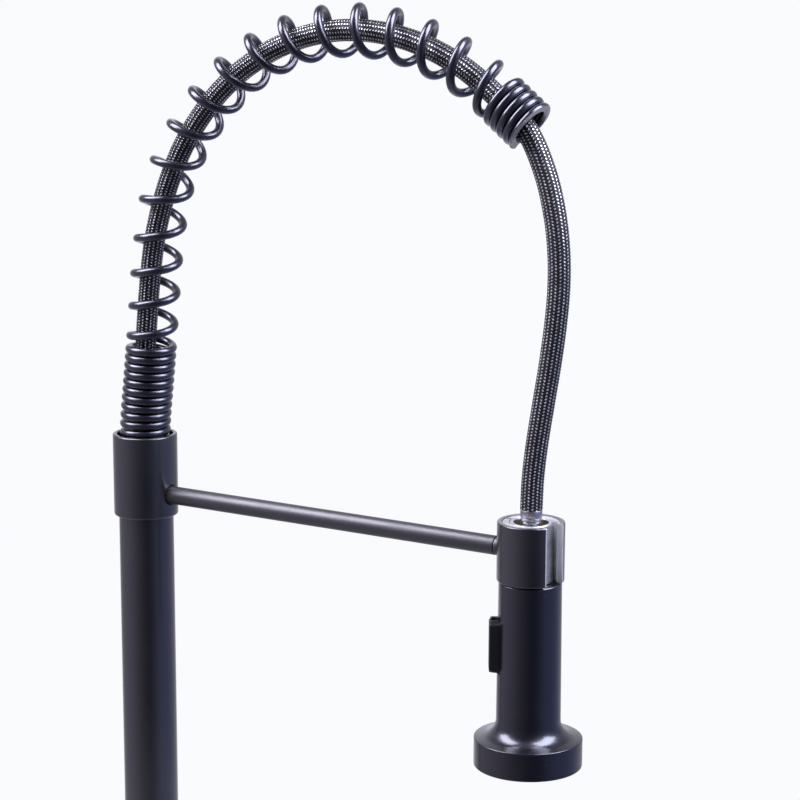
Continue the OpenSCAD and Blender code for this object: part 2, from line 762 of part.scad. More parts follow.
// Smooth curve through the chosen points
function hose_at(i, t) = let (
    n = len(hose_points) - 1,
    p0 = hose_points[max(i - 1, 0)],
    p1 = hose_points[i],
    p2 = hose_points[min(i + 1, n)],
    p3 = hose_points[min(i + 2, n)])
    0.5 * (2 * p1 + (p2 - p0) * t + (2 * p0 - 5 * p1 + 4 * p2 - p3) * t * t
        + (3 * p1 - p0 - 3 * p2 + p3) * t * t * t);

hose_line = concat([for (i = [0:len(hose_points) - 2], k = [0:hose_steps - 1]) hose_at(i, k / hose_steps)],
    [hose_points[len(hose_points) - 1]]);

function unit(v) = v / norm(v);

function hose_ring(i) = let (
    n = len(hose_line) - 1,
    p = hose_line[i],
    d = i == 0 || i == n ? [0, 0, i == 0 ? 1 : -1] : unit(hose_line[i + 1] - hose_line[i - 1]),
    side = unit([1, 0, 0] - d[0] * d),
    up = cross(side, d),
    centre = [p[0], p[1], p[2]])
    [for (k = [0:hose_sides - 1]) let (b = 360 * k / hose_sides,
        q = centre + hose_d / 2 * (cos(b) * side + sin(b) * up)) [q[0], -q[1], collar_top + q[2]]];

module braided_hose() {
    color(braid_black) skinned_tube([for (i = [0:len(hose_line) - 1]) hose_ring(i)], hose_sides);
}

module hose_ferrule() {
    r = ferrule_d / 2;
    color(bright_metal) on_head() translate([0, 0, dock_top + ferrule_lift])
        rotate_extrude() polygon([[spigot_in / 2 - 1, 0], [r - 0.5, 0], [r, 0.5], [r, ferrule_h - 0.4],
            [r - 0.4, ferrule_h], [spigot_in / 2 - 1, ferrule_h]]);
}

module hose_stem() {
    neck = stem_neck / 2;
    low = inlet_top + washer_t + 2 * skin;
    top = dock_top + ferrule_lift;
    color(bright_metal) on_head() rotate_extrude()
        polygon([[spigot_in / 2 - 1, low], [nut_bore / 2 - 0.15, low], [nut_bore / 2 - 0.15, low + flange_t],
            [neck, low + flange_t], [neck, top], [spigot_in / 2 - 1, top]]);
}

// ---------------------------------------------------------------- spray head

// Nut that holds the hose to the head, with the tapered nose that seats in the dock
module hose_nut() {
    r = nut_d / 2;
    z0 = head_top - cap_t + 0.5;
    nose_top = dock_top - liner_drop;
    color(bright_metal) on_head() rotate_extrude() polygon([[nut_bore / 2, z0], [r, z0], [r, dock_z],
        [nose_low_d / 2 - 0.4, dock_z], [nose_low_d / 2, dock_z + 0.4], [nose_d / 2, nose_top - 0.5],
        [nose_d / 2 - 0.5, nose_top], [recess_d / 2 + 0.3, nose_top], [recess_d / 2, nose_top - 0.3],
        [recess_d / 2, nut_top], [stem_neck / 2 + skin, nut_top], [stem_neck / 2 + skin, nut_top - nut_lip],
        [nut_bore / 2, nut_top - nut_lip]]);
}

module inlet_washer() {
    color(rubber) on_head() translate([0, 0, inlet_top + skin])
        ring(nut_bore / 2 - 2 * skin, spigot_in / 2, washer_t);
}

module check_valve() {
    len = 9;
    color(pale_plastic) on_head() translate([0, 0, inlet_top - len - 0.5]) difference() {
        cylinder(d = spigot_in - 2 * skin, h = len);
        for (a = [0:90:270]) rotate([0, 0, a + 45]) translate([2.2, 0, -eps]) cylinder(d = 1.8, h = len + 1);
    }
}

// Boss inside the shell that carries the rocker
module rocker_boss() {
    low = pad_z - 2.4;
    high = pad_top + notch + nub_h + 1;
    intersection() {
        on_rocker() translate([boss_in, -boss_w / 2, low]) cube([grip_r, boss_w, high - low]);
        on_head() translate([0, 0, low - 1]) cylinder(r = grip_r - 0.4, h = high - low + 2);
    }
}

module head_shell() {
    r = bell_r;
    edge = 0.5;
    z1 = head_z + bell_h;
    color(black_paint) difference() {
        union() {
            difference() {
                on_head() rotate_extrude() polygon(concat(
                    [[0, head_z], [r - edge, head_z], [r, head_z + edge], [r, z1 - 0.3], [r - 0.3, z1]],
                    arc(grip_low_r + cove_r, z1 + land_rise + cove_r, cove_r, 270, 180, 12),
                    [[grip_r, head_top - 0.9], [grip_r - 0.9, head_top], [0, head_top]]));
                on_head() rotate_extrude() polygon([[0, head_z - 1], [plate_r + skin, head_z - 1],
                    [plate_r + skin, mat_z + mat_t], [chamber_r + play, mat_z + mat_t],
                    [chamber_r + play, z1 - 3], [shell_r, z1 + 5.4], [shell_r, head_top - cap_t],
                    [0, head_top - cap_t]]);
            }
            rocker_boss();
            // fixed nub above the rocker
            on_rocker() translate([grip_r - 1, 0, pad_top + notch + nub_h / 2]) rotate([0, 90, 0])
                linear_extrude(pad_proud + 0.7) rounded_rect(nub_h, nub_w, 0.85);
        }
        on_head() translate([0, 0, head_top - cap_t - 1]) cylinder(d = cap_hole, h = cap_t + 2);
        // pocket under the pad, deeper at its hinge
        on_rocker() translate([pad_in - 2.4, -pad_w / 2 - 0.35, pad_z - 0.6])
            cube([grip_r, pad_w + 0.7, pad_len + 0.6 + notch]);
        on_rocker() translate([rocker_x - 1.9, -pad_w / 2 - 0.35, rocker_z - 3.3])
            cube([grip_r, pad_w + 0.7, 3.3 + pad_top + notch - rocker_z]);
        on_rocker() translate([rocker_x, 0, rocker_z]) rotate([90, 0, 0])
            cylinder(d = rocker_pin_d + skin, h = rocker_pin_len + 0.2, center = true);
    }
}

module rocker_button() {
    foot = 0.7;                           // slant of the pad's lower end
    color(black_plastic) difference() {
        union() {
            intersection() {
                on_rocker() translate([0, pad_w / 2, 0]) rotate([90, 0, 0]) linear_extrude(pad_w)
                    polygon([[pad_in, pad_z - foot / 2], [pad_in, pad_top], [pad_out - 0.5, pad_top],
                        [pad_out, pad_top - 0.8], [pad_out, pad_z + foot + 0.5], [pad_out - 0.5, pad_z + foot]]);
                on_rocker() translate([pad_in - 1, 0, pad_z + pad_len / 2]) rotate([0, 90, 0])
                    linear_extrude(10) rounded_rect(pad_len + 0.8, pad_w, 2);
            }
            on_rocker() translate([rocker_x - 1.5, -pad_w / 2, rocker_z - 2])
                cube([pad_in - rocker_x + 2, pad_w, 4]);
        }
        on_rocker() translate([rocker_x, 0, rocker_z]) rotate([90, 0, 0])
            cylinder(d = rocker_pin_d + 2 * skin, h = 2 * pad_w, center = true);
    }
}

module rocker_pin() {
    color(steel) on_rocker() translate([rocker_x, 0, rocker_z]) rotate([90, 0, 0])
        cylinder(d = rocker_pin_d, h = rocker_pin_len, center = true);
}

module head_core() {
    top = head_top - cap_t - skin;
    z1 = head_z + bell_h;
    r = shell_r - play;
    low = pad_z - 2.4;
    high = pad_top + notch + nub_h + 1;
    color(pale_plastic) difference() {
        union() {
            on_head() rotate_extrude() polygon([[0, core_z], [chamber_r, core_z], [chamber_r, z1 - 3.2],
                [r, z1 + 4.9], [r, top], [0, top]]);
            on_head() translate([0, 0, top - 1]) cylinder(d = nut_bore - 2 * skin, h = inlet_top - top + 1);
        }
        // way in, with the check valve's seat
        on_head() translate([0, 0, pad_top + 8]) cylinder(d = spigot_in, h = head_len);
        // seats of the diverter and the aerator
        on_head() translate([0, 0, core_z - 1]) cylinder(d = aerator_d + 0.4, h = aerator_z + aerator_h + 1.1 - core_z);
        on_head() translate([0, 0, aerator_z + aerator_h - 1]) cylinder(d = diverter_bore, h = pad_top + diverter_over + 1.1 - aerator_z - aerator_h);
        // room for the rocker's boss, open downwards so that the core slides in
        on_rocker() translate([boss_in - play, -boss_w / 2 - play, z1]) cube([grip_r, boss_w + 2 * play, high + play - z1]);
    }
}

module diverter_cartridge() {
    low = aerator_z + aerator_h + 1;
    len = pad_top + diverter_over - low;
    r = diverter_bore / 2 - 0.1;
    waist = r - 1.4;
    color(pale_plastic) on_head() translate([0, 0, low]) difference() {
        rotate_extrude() polygon([[0, 0], [r, 0], [r, len * 0.15], [waist, len * 0.15],
            [waist, len * 0.3], [r, len * 0.3], [r, len], [0, len]]);
        translate([0, 0, -eps]) cylinder(r = waist / 2, h = len + 1);
    }
}

// Places of the jets
module at_jets() {
    for (ring = nozzle_rings, i = [0:ring[1] - 1])
        rotate([0, 0, 360 * i / ring[1]]) translate([ring[0], 0, 0]) children();
}

module nozzle_mat() {
    color(silicone_grey) on_head() {
        translate([0, 0, mat_z]) ring(plate_r - 0.4, aerator_d / 2 + 0.5, mat_t);
        translate([0, 0, head_z + 0.3]) at_jets()
            cylinder(r1 = 0.75, r2 = 1.1, h = mat_z + mat_t / 2 - head_z - 0.3, $fn = 24);
    }
}

module spray_plate() {
    color(black_plastic) on_head() translate([0, 0, plate_z]) difference() {
        chamfered_ring(plate_r, aerator_d / 2 + skin, plate_t, 0.4, 0);
        translate([0, 0, -eps]) at_jets() cylinder(r = 1.2, h = plate_t + 2 * eps, $fn = 24);
    }
}

module aerator_housing() {
    color(black_plastic) on_head() translate([0, 0, aerator_z]) difference() {
        chamfered_ring(aerator_d / 2, aerator_d / 2 - 1.8, aerator_h, 0.5, 0);
        for (a = [0:90:270]) rotate([0, 0, a]) translate([aerator_d / 2 - 1, -1, -eps]) cube([2, 2, 1]);
    }
}

module aerator_screen() {
    r = aerator_d / 2 - 1.8 - skin;
    pitch = 2.2;
    bar = 0.6;
    color(silicone_grey) on_head() translate([0, 0, aerator_z + 1]) {
        ring(r, r - 1, 3);
        intersection() {
            cylinder(r = r - 0.5, h = 1.6);
            for (i = [-2:2]) {
                translate([i * pitch - bar / 2, -r, 0]) cube([bar, 2 * r, 1.6]);
                translate([-r, i * pitch - bar / 2, 0]) cube([2 * r, bar, 1.6]);
            }
        }
    }
}

base_flange();
deck_gasket();
faucet_body();
threaded_shank();
rubber_washer();
steel_washer();
mounting_nut();
clamp_screws();
valve_cartridge();
cartridge_nut();
valve_dome();
spigot_o_rings();
cartridge_carrier();
stem_pin();
valve_stem();
lever_hub();
lever_rod();
hub_screw();
indicator_plug();
glide_ring();
riser_foot();
swivel_screw();
riser_tube();
spring_collar();
collar_screw();
hose_adapter();
adapter_o_ring();
adapter_ferrule();
support_arm();
arm_end_ring();
dock_ring();
dock_liner();
dock_screw();
coil_spring();
braided_hose();
hose_ferrule();
hose_stem();
hose_nut();
inlet_washer();
check_valve();
head_shell();
head_core();
diverter_cartridge();
rocker_button();
rocker_pin();
nozzle_mat();
spray_plate();
aerator_housing();
aerator_screen();
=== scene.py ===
import json
from math import cos, floor, hypot, pi, radians, sin, sqrt

import bmesh
import bpy
from mathutils import Matrix, Vector


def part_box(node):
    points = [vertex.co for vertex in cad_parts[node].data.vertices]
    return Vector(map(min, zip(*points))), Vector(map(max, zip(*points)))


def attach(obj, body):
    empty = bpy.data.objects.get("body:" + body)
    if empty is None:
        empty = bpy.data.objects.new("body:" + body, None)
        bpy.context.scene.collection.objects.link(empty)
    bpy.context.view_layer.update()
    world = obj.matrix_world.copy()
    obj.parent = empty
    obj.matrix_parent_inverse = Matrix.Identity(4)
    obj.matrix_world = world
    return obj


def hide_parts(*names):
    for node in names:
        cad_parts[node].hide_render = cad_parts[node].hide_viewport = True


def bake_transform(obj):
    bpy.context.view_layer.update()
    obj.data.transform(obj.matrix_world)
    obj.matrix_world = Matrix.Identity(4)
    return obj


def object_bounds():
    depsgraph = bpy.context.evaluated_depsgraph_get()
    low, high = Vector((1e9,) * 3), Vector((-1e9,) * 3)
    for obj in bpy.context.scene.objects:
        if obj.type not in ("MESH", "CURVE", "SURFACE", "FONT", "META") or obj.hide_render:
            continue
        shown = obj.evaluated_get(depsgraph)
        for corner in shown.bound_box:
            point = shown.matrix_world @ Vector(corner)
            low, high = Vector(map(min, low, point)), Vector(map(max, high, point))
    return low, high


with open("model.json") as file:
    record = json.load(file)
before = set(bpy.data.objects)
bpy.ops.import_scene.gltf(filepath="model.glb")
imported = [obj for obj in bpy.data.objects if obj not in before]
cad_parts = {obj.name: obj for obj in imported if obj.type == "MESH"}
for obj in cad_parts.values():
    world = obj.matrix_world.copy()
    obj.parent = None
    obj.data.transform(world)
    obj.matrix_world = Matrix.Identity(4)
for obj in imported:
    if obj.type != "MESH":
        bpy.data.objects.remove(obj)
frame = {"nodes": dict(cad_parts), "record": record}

mm = 0.001
hair = 1e-6  # distances below this count as none
lying = (pi / 2, 0, 0)  # turns an upright tool towards -Y
cadLow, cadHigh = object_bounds()


def middle(node):
    low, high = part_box(node)
    return (low + high) / 2


def heights(node):  # where the node starts and ends, in millimetres
    low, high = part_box(node)
    return {"low": low.z / mm, "high": high.z / mm}


headAxis = Vector((0, middle("head_shell").y, 0))  # the hanging head's upright axis
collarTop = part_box("spring_collar")[1].z
armHeight = middle("support_arm").z
slotHeading = radians(-104)  # where the dock opens for the hose

# camera, set where the object is looked at from
view = {
    "place": (-0.945207, -0.728861, collarTop + 0.254156),
    "heading": -58.657, "tilt": 78.717, "roll": 0.195,  # degrees
    "lens": 106.36, "sensor": 36.0, "near": 0.05,
}
bpy.ops.object.camera_add(location=view["place"])
camera = bpy.context.object
camera.name = "viewpoint"
camera.rotation_euler = (
    Matrix.Rotation(radians(view["heading"]), 3, "Z")
    @ Matrix.Rotation(radians(view["tilt"]), 3, "X")
    @ Matrix.Rotation(radians(view["roll"]), 3, "Z")
).to_euler()
camera.data.sensor_width = view["sensor"]
camera.data.lens = view["lens"]
camera.data.clip_start = view["near"]
bpy.context.scene.camera = camera
bpy.context.scene.view_settings.view_transform = "Standard"
print("camera placed")


def standClear():  # object mode, and nothing selected
    if bpy.context.object and bpy.context.object.mode != "OBJECT":
        bpy.ops.object.mode_set(mode="OBJECT")
    bpy.ops.object.select_all(action="DESELECT")


def takeUp(piece):  # the only piece selected, and the active one
    standClear()
    piece.select_set(True)
    bpy.context.view_layer.objects.active = piece


def choose(piece, kind, wanted):  # in edit mode: select what passes the test
    bpy.ops.mesh.select_mode(type={"verts": "VERT", "edges": "EDGE", "faces": "FACE"}[kind])
    bpy.ops.mesh.select_all(action="DESELECT")
    shape = bmesh.from_edit_mesh(piece.data)
    found = [part for part in getattr(shape, kind) if wanted(part)]
    for part in found:
        part.select_set(True)
    shape.select_flush_mode()
    bmesh.update_edit_mesh(piece.data)
    return len(found)


def mend(gap):  # in edit mode: closes gaps and turns the faces outwards
    bpy.ops.mesh.select_all(action="SELECT")
    bpy.ops.mesh.remove_doubles(threshold=gap)
    bpy.ops.mesh.normals_make_consistent(inside=False)


def along(edge):
    return (edge.verts[0].co - edge.verts[1].co).normalized()


def turned(name, corners, sides=128, steps=5):
    # spins a profile about Z: its corners are (radius, height) or (radius, height, rounding) in millimetres
    standClear()
    bpy.ops.mesh.primitive_circle_add(vertices=len(corners), fill_type="NGON", enter_editmode=True)
    piece = bpy.context.object
    piece.name = name
    profile = bmesh.from_edit_mesh(piece.data)
    for vert, corner in zip(list(profile.verts), corners):
        vert.co = (corner[0] * mm, 0, corner[1] * mm)
    bmesh.update_edit_mesh(piece.data)
    for radius, height, *rounding in corners:
        if rounding:
            spot = Vector((radius * mm, 0, height * mm))
            choose(piece, "verts", lambda vert: (vert.co - spot).length < 2 * hair)
            bpy.ops.mesh.bevel(offset=rounding[0] * mm, segments=steps, affect="VERTICES")
    bpy.ops.mesh.select_all(action="SELECT")
    bpy.ops.mesh.delete(type="ONLY_FACE")
    if choose(piece, "edges", lambda edge: max(abs(vert.co.x) for vert in edge.verts) < hair / 10):
        bpy.ops.mesh.delete(type="EDGE")  # nothing is left along the axis
    bpy.ops.mesh.select_mode(type="VERT")
    bpy.ops.mesh.select_all(action="SELECT")
    bpy.ops.mesh.spin(steps=sides, angle=2 * pi, center=(0, 0, 0), axis=(0, 0, 1))
    mend(hair)
    bpy.ops.object.mode_set(mode="OBJECT")
    return piece


def settle(piece, place, turn=(0, 0, 0)):  # moves and turns the mesh, not the object
    takeUp(piece)
    piece.rotation_euler = turn
    piece.location = place
    bpy.ops.object.transform_apply(location=True, rotation=True, scale=True)
    return piece


def block(size, place, heading, rounding=0.0, steps=3):
    standClear()
    bpy.ops.mesh.primitive_cube_add(size=1)
    piece = bpy.context.object
    piece.scale = size
    bpy.ops.object.transform_apply(location=False, rotation=False, scale=True)
    if rounding:
        finishWith(piece, "BEVEL", width=rounding, segments=steps, limit_method="NONE")
    return settle(piece, place, (0, 0, heading))


def rod(radius, length, place, turn=(0, 0, 0), sides=64, tip=None):
    standClear()
    bpy.ops.mesh.primitive_cone_add(vertices=sides, radius1=radius, radius2=tip or radius, depth=length)
    return settle(bpy.context.object, place, turn)


def finishWith(piece, kind, **values):  # one modifier, applied at once
    takeUp(piece)
    modifier = piece.modifiers.new(kind.lower(), kind)
    for key, value in values.items():
        setattr(modifier, key, value)
    bpy.ops.object.modifier_apply(modifier=modifier.name)


def work(piece, tool, operation="DIFFERENCE"):  # cuts with the tool, or joins it on
    finishWith(piece, "BOOLEAN", solver="EXACT", operation=operation, object=tool)
    bpy.data.objects.remove(tool)
    return piece


def roundOff(piece, kind, wanted, width, steps):  # bevels the edges, or round the faces, that pass the test
    takeUp(piece)
    bpy.ops.object.mode_set(mode="EDIT")
    choose(piece, kind, wanted)
    bpy.ops.mesh.bevel(offset=width * mm, segments=steps, affect="EDGES")
    bpy.ops.object.mode_set(mode="OBJECT")


def breakEdges(piece, width, steps=2):
    finishWith(piece, "BEVEL", width=width, segments=steps, limit_method="ANGLE", angle_limit=radians(30),
               use_clamp_overlap=True, miter_outer="MITER_ARC")


def smooth(piece, angle=32):
    takeUp(piece)
    bpy.ops.object.shade_smooth_by_angle(angle=radians(angle))


def stand(piece, node, body, finish):  # the finished piece takes the node's place
    smooth(piece)
    piece.data.materials.clear()
    piece.data.materials.append(finishes[finish])
    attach(piece, body)
    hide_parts(node)


def mathNode(operation, swapped=False):  # the node behind one of Python's operators
    if swapped:
        return lambda self, other: self.calc(operation, other, self)
    return lambda self, other=0.0: self.calc(operation, self, other)


class Signal:  # a socket that does arithmetic
    def __init__(self, finish, socket):
        self.finish, self.socket = finish, socket

    def calc(self, operation, first, second):
        return self.finish.node("ShaderNodeMath", {"operation": operation}, {0: first, 1: second})

    __add__ = __radd__ = mathNode("ADD")
    __sub__, __rsub__ = mathNode("SUBTRACT"), mathNode("SUBTRACT", swapped=True)
    __mul__ = __rmul__ = mathNode("MULTIPLY")
    __truediv__, __pow__, __mod__ = mathNode("DIVIDE"), mathNode("POWER"), mathNode("FLOORED_MODULO")
    __gt__, most = mathNode("GREATER_THAN"), mathNode("MAXIMUM")
    __abs__, floor, wave = mathNode("ABSOLUTE"), mathNode("FLOOR"), mathNode("SINE")

    def rise(self, low, high):  # 0 below low, 1 above high, smooth between
        return self.finish.node("ShaderNodeMapRange", {"interpolation_type": "SMOOTHSTEP"},
                                {0: self, 1: low, 2: high})


class NodeBench:  # where the nodes of a tree are made
    def __init__(self, tree):
        self.tree = tree
        tree.nodes.clear()

    def node(self, kind, settings=None, values=None, output=0):
        made = self.tree.nodes.new(kind)
        for key, value in (settings or {}).items():
            if key == "stops":
                ramp = made.color_ramp.elements  # it starts with two stops
                for index, (position, level) in enumerate(value):
                    stop = ramp[index] if index < 2 else ramp.new(position)
                    stop.position, stop.color = position, (level, level, level, 1)
            else:
                setattr(made, key, value)
        for key, value in (values or {}).items():
            socket = made.inputs[key]
            if isinstance(value, Signal):
                self.tree.links.new(value.socket, socket)
            elif socket.type == "RGBA" and len(value) == 3:
                socket.default_value = (*value, 1)
            else:
                socket.default_value = value
        return Signal(self, made.outputs[output])

    def noise(self, where, scale, detail=2.0, roughness=0.5):
        return self.node("ShaderNodeTexNoise", {},
                         {"Vector": where, "Scale": scale, "Detail": detail, "Roughness": roughness})

    def vector(self, operation, first, second=None, output=0):
        values = {0: first} if second is None else {0: first, 1: second}
        return self.node("ShaderNodeVectorMath", {"operation": operation}, values, output)

    def blendOf(self, factor, first, second):  # colours
        return self.node("ShaderNodeMix", {"data_type": "RGBA"}, {0: factor, 6: first, 7: second}, output=2)

    def parts(self, vector):
        split = self.node("ShaderNodeSeparateXYZ", {}, {0: vector})
        return [Signal(self, output) for output in split.socket.node.outputs]

    def rays(self, *kinds):  # 1 where such a ray looks
        path = self.node("ShaderNodeLightPath").socket.node
        return [Signal(self, path.outputs["Is %s Ray" % kind]) for kind in kinds]


class Finish(NodeBench):  # a material with its shader
    def __init__(self, name, **constants):
        self.material = bpy.data.materials.new(name)
        self.material.use_nodes = True
        super().__init__(self.material.node_tree)
        self.output = self.tree.nodes.new("ShaderNodeOutputMaterial")
        self.shader = self.tree.nodes.new("ShaderNodeBsdfPrincipled")
        self.tree.links.new(self.shader.outputs[0], self.output.inputs[0])
        self.where = self.node("ShaderNodeTexCoord", output=3)
        self.wear(**constants)

    def wear(self, **values):  # values or links on the shader's own sockets
        for key, value in values.items():
            socket = self.shader.inputs[key.replace("_", " ")]
            if isinstance(value, Signal):
                self.tree.links.new(value.socket, socket)
            else:
                socket.default_value = (*value, 1) if isinstance(value, tuple) else value

    def emboss(self, height, distance, strength=1.0):
        bump = self.node("ShaderNodeBump", {}, {"Height": height, "Strength": strength, "Distance": distance})
        self.tree.links.new(bump.socket, self.shader.inputs["Normal"])


def tinted(tone, share, lift=0.0):
    return tuple(min(part * share + lift, 1) for part in tone)


def paintedBlack(name, tone, sheen, grain, smudge, gloss=0.44, cast=(1.0, 1.0, 1.0), coat=0.85,
                 bareCut=None, groundFace=None):
    # baked satin paint: a fine orange peel, faint handling marks, and rare pale spots that are dust in the
    # film and also painted glints
    finish = Finish(name, IOR=2.0, Specular_IOR_Level=gloss, Specular_Tint=cast,
                    Coat_Weight=coat, Coat_IOR=1.6, Coat_Roughness=0.19)
    peel = finish.noise(finish.where, 520, 2.0)
    film = finish.noise(finish.where, 2100, 2.0, 0.6)
    marks = finish.noise(finish.where, 46, 4.0, 0.6)
    dustAndGlints = finish.noise(finish.where, 1350, 0.0).rise(0.835, 0.87)
    shade = marks * 0.5 + peel * 0.3 + film * 0.2
    colour = finish.blendOf(shade, tinted(tone, 0.8), tinted(tone, 1.25))
    # the rare pale spots are dust in the film and also painted glints
    colour = finish.blendOf(dustAndGlints * 0.35, colour, (0.16, 0.16, 0.17))
    rough = sheen + marks.rise(0.42, 0.68) * smudge + film * grain * 0.5
    if bareCut:  # the slot was milled after painting, so its faces are bare
        x, y = finish.parts(finish.where)[:2]
        outward = x * cos(slotHeading) + (y - headAxis.y) * sin(slotHeading)
        aside = (y - headAxis.y) * cos(slotHeading) - x * sin(slotHeading)
        bare = (1 - (abs(aside) > bareCut["halfWide"] * mm + film * 0.00012)) * (outward > 0)
        # painted highlight: the bare slot faces blend toward white and less metal near the outer edge
        edge = outward.rise(bareCut["highlightFrom"] * mm, bareCut["highlightTo"] * mm)  # brighter towards the outside
        milled = finish.blendOf(film * 0.8 + edge * 0.6, bareCut["dull"], bareCut["bright"])
        rough = rough + bare * 0.1
        colour = finish.blendOf(bare, colour, milled)
        finish.wear(Metallic=bare * (0.35 - edge * 0.2))
    if groundFace:  # the wire's last turn was ground flat after painting
        point, facing = groundFace
        offset = finish.vector("SUBTRACT", finish.where, point)
        depth = finish.vector("DOT_PRODUCT", offset, facing, output=1)
        reach = finish.vector("LENGTH", offset, output=1)
        ground = (depth > -0.04 * mm) * (1 - (reach > 16 * mm))
        colour = finish.blendOf(ground, colour, finish.blendOf(film, (0.3, 0.3, 0.33), (0.52, 0.52, 0.56)))
        rough = rough + ground * 0.12
        finish.wear(Metallic=ground * 0.4)
    finish.wear(Base_Color=colour, Roughness=rough)
    finish.emboss(peel * 0.7 + film * 0.3 + dustAndGlints * 0.4, 0.00006, grain * 3)
    return finish.material


def castMetal(name, tone, sheen, grain):
    # unpainted die casting: dull grain with small bright and dark spots
    finish = Finish(name, Metallic=0.4)
    cloud = finish.noise(finish.where, 240, 3.0, 0.6)
    grit = finish.noise(finish.where, 1500, 2.0, 0.7)
    pits = finish.noise(finish.where, 700, 1.0).rise(0.62, 0.72)
    lit = finish.blendOf(cloud * 0.6 + grit * 0.4, tinted(tone, 0.78), tinted(tone, 1.18))
    finish.wear(
        Base_Color=finish.blendOf(pits * 0.5, lit, tinted(tone, 0.45)),
        Roughness=sheen + grit * 0.18 + pits * 0.15)
    finish.emboss(grit * 0.6 + cloud * 0.6 - pits * 0.7, 0.00009, grain)
    return finish.material


def turnedMetal(name, tone, sheen, lines, recess=None):
    # lathe work: fine rings about the upright axis, with a little tarnish
    finish = Finish(name, Metallic=1.0)
    x, y, z = finish.parts(finish.where)
    rings = (z * 2 * pi / (0.22 * mm)).wave() * 0.5 + 0.5
    fine = finish.noise(finish.vector("MULTIPLY", finish.where, (60, 60, 5200)), 1.0, 3.0)
    tarnish = finish.noise(finish.where, 170, 4.0, 0.6)
    colour = finish.blendOf(tarnish.rise(0.35, 0.75), tone, tinted(tone, 0.72))
    if recess:  # the plating stops at the mouth of the recess
        away = (x * x + (y - headAxis.y) ** 2) ** 0.5
        inside = (1 - (away > recess["radius"] * mm)) * (1 - (z > recess["mouth"] * mm))
        colour = finish.blendOf(inside, colour, recess["tone"])
    finish.wear(Base_Color=colour, Roughness=sheen + fine * 0.12 + tarnish * 0.12)
    finish.emboss(rings * 0.4 + fine * 0.6, 0.00002, lines)
    return finish.material


def mouldedPlastic(name, tone, sheen, grain):
    finish = Finish(name, IOR=1.55)
    spark = finish.noise(finish.where, 2600, 2.0)
    flow = finish.noise(finish.where, 90, 3.0)
    finish.wear(
        Base_Color=finish.blendOf(flow, tinted(tone, 0.88), tinted(tone, 1.1)),
        Roughness=sheen + flow * 0.1 + spark * 0.08)
    finish.emboss(spark, 0.00004, grain)
    return finish.material


def softRubber(name, tone):
    finish = Finish(name, IOR=1.5, Specular_IOR_Level=0.35)
    bloom = finish.noise(finish.where, 130, 5.0, 0.65)
    grit = finish.noise(finish.where, 1900, 2.0)
    finish.wear(
        Base_Color=finish.blendOf(bloom.rise(0.4, 0.8), tone, tinted(tone, 1.7, 0.004)),
        Roughness=0.62 + bloom * 0.25)
    finish.emboss(grit * 0.7 + bloom * 0.3, 0.00005, 0.35)
    return finish.material


braid = {"radius": 5.3 * mm, "columns": 16, "cell": 1.53 * mm, "slant": radians(38), "relief": 0.16 * mm,
         "strokeLong": 0.5 * mm, "strokeWide": 0.34 * mm, "strandLong": 1.25 * mm, "strandWide": 0.62 * mm}


def weave(across, down, lean):  # along a strand and across it; for signals and for numbers
    slant = braid["slant"]
    across = across * (2 * pi * braid["radius"] / braid["columns"])
    down = down * braid["cell"]
    return across * cos(slant) + lean * down * sin(slant), down * cos(slant) - lean * across * sin(slant)


def braidedSleeve(name, tone, tracer):
    # tight sleeve of black yarn: a pale metallic tracer shows once in each crossing, tipped left and right by
    # turns; its pale dots also stand in for glints on the glossy yarn, as painted highlights
    finish = Finish(name, IOR=1.5, Specular_IOR_Level=0.6)
    u, v = finish.parts(finish.node("ShaderNodeUVMap", {"uv_map": "braid"}))[:2]
    column = u.floor()
    odd = column % 2
    run, side = weave(u - column - 0.5, (v + odd * 0.5) % 1 - 0.5, 1 - 2 * odd)
    jitter = (finish.noise(finish.where, 330, 1.0) - 0.5) * 1.4
    stroke = 1.12 - (run / braid["strokeLong"]) ** 2 - (side / braid["strokeWide"]) ** 2
    tracerAndGlintMask = (stroke + jitter).rise(0.0, 0.45)
    strand = (1 - (run / braid["strandLong"]) ** 2 - (side / braid["strandWide"]) ** 2).rise(-0.35, 0.75)
    threads = (side * (2 * pi / (0.16 * mm))).wave() * 0.5 + 0.5
    # painted shade: the yarn colour darkens from the strand tops into the grooves between strands and threads
    yarn = finish.blendOf(strand * 0.75 + threads * 0.25, tinted(tone, 0.35), tone)
    finish.wear(
        # the pale metallic tracer dots are also painted glints
        Base_Color=finish.blendOf(tracerAndGlintMask, yarn, tracer),
        Metallic=tracerAndGlintMask * 0.94,
        Roughness=0.34 - tracerAndGlintMask * 0.07 + threads * 0.08)
    finish.emboss(strand * 0.7 + threads * 0.12 + tracerAndGlintMask * 0.35, 0.00022, 0.8)
    return finish.material
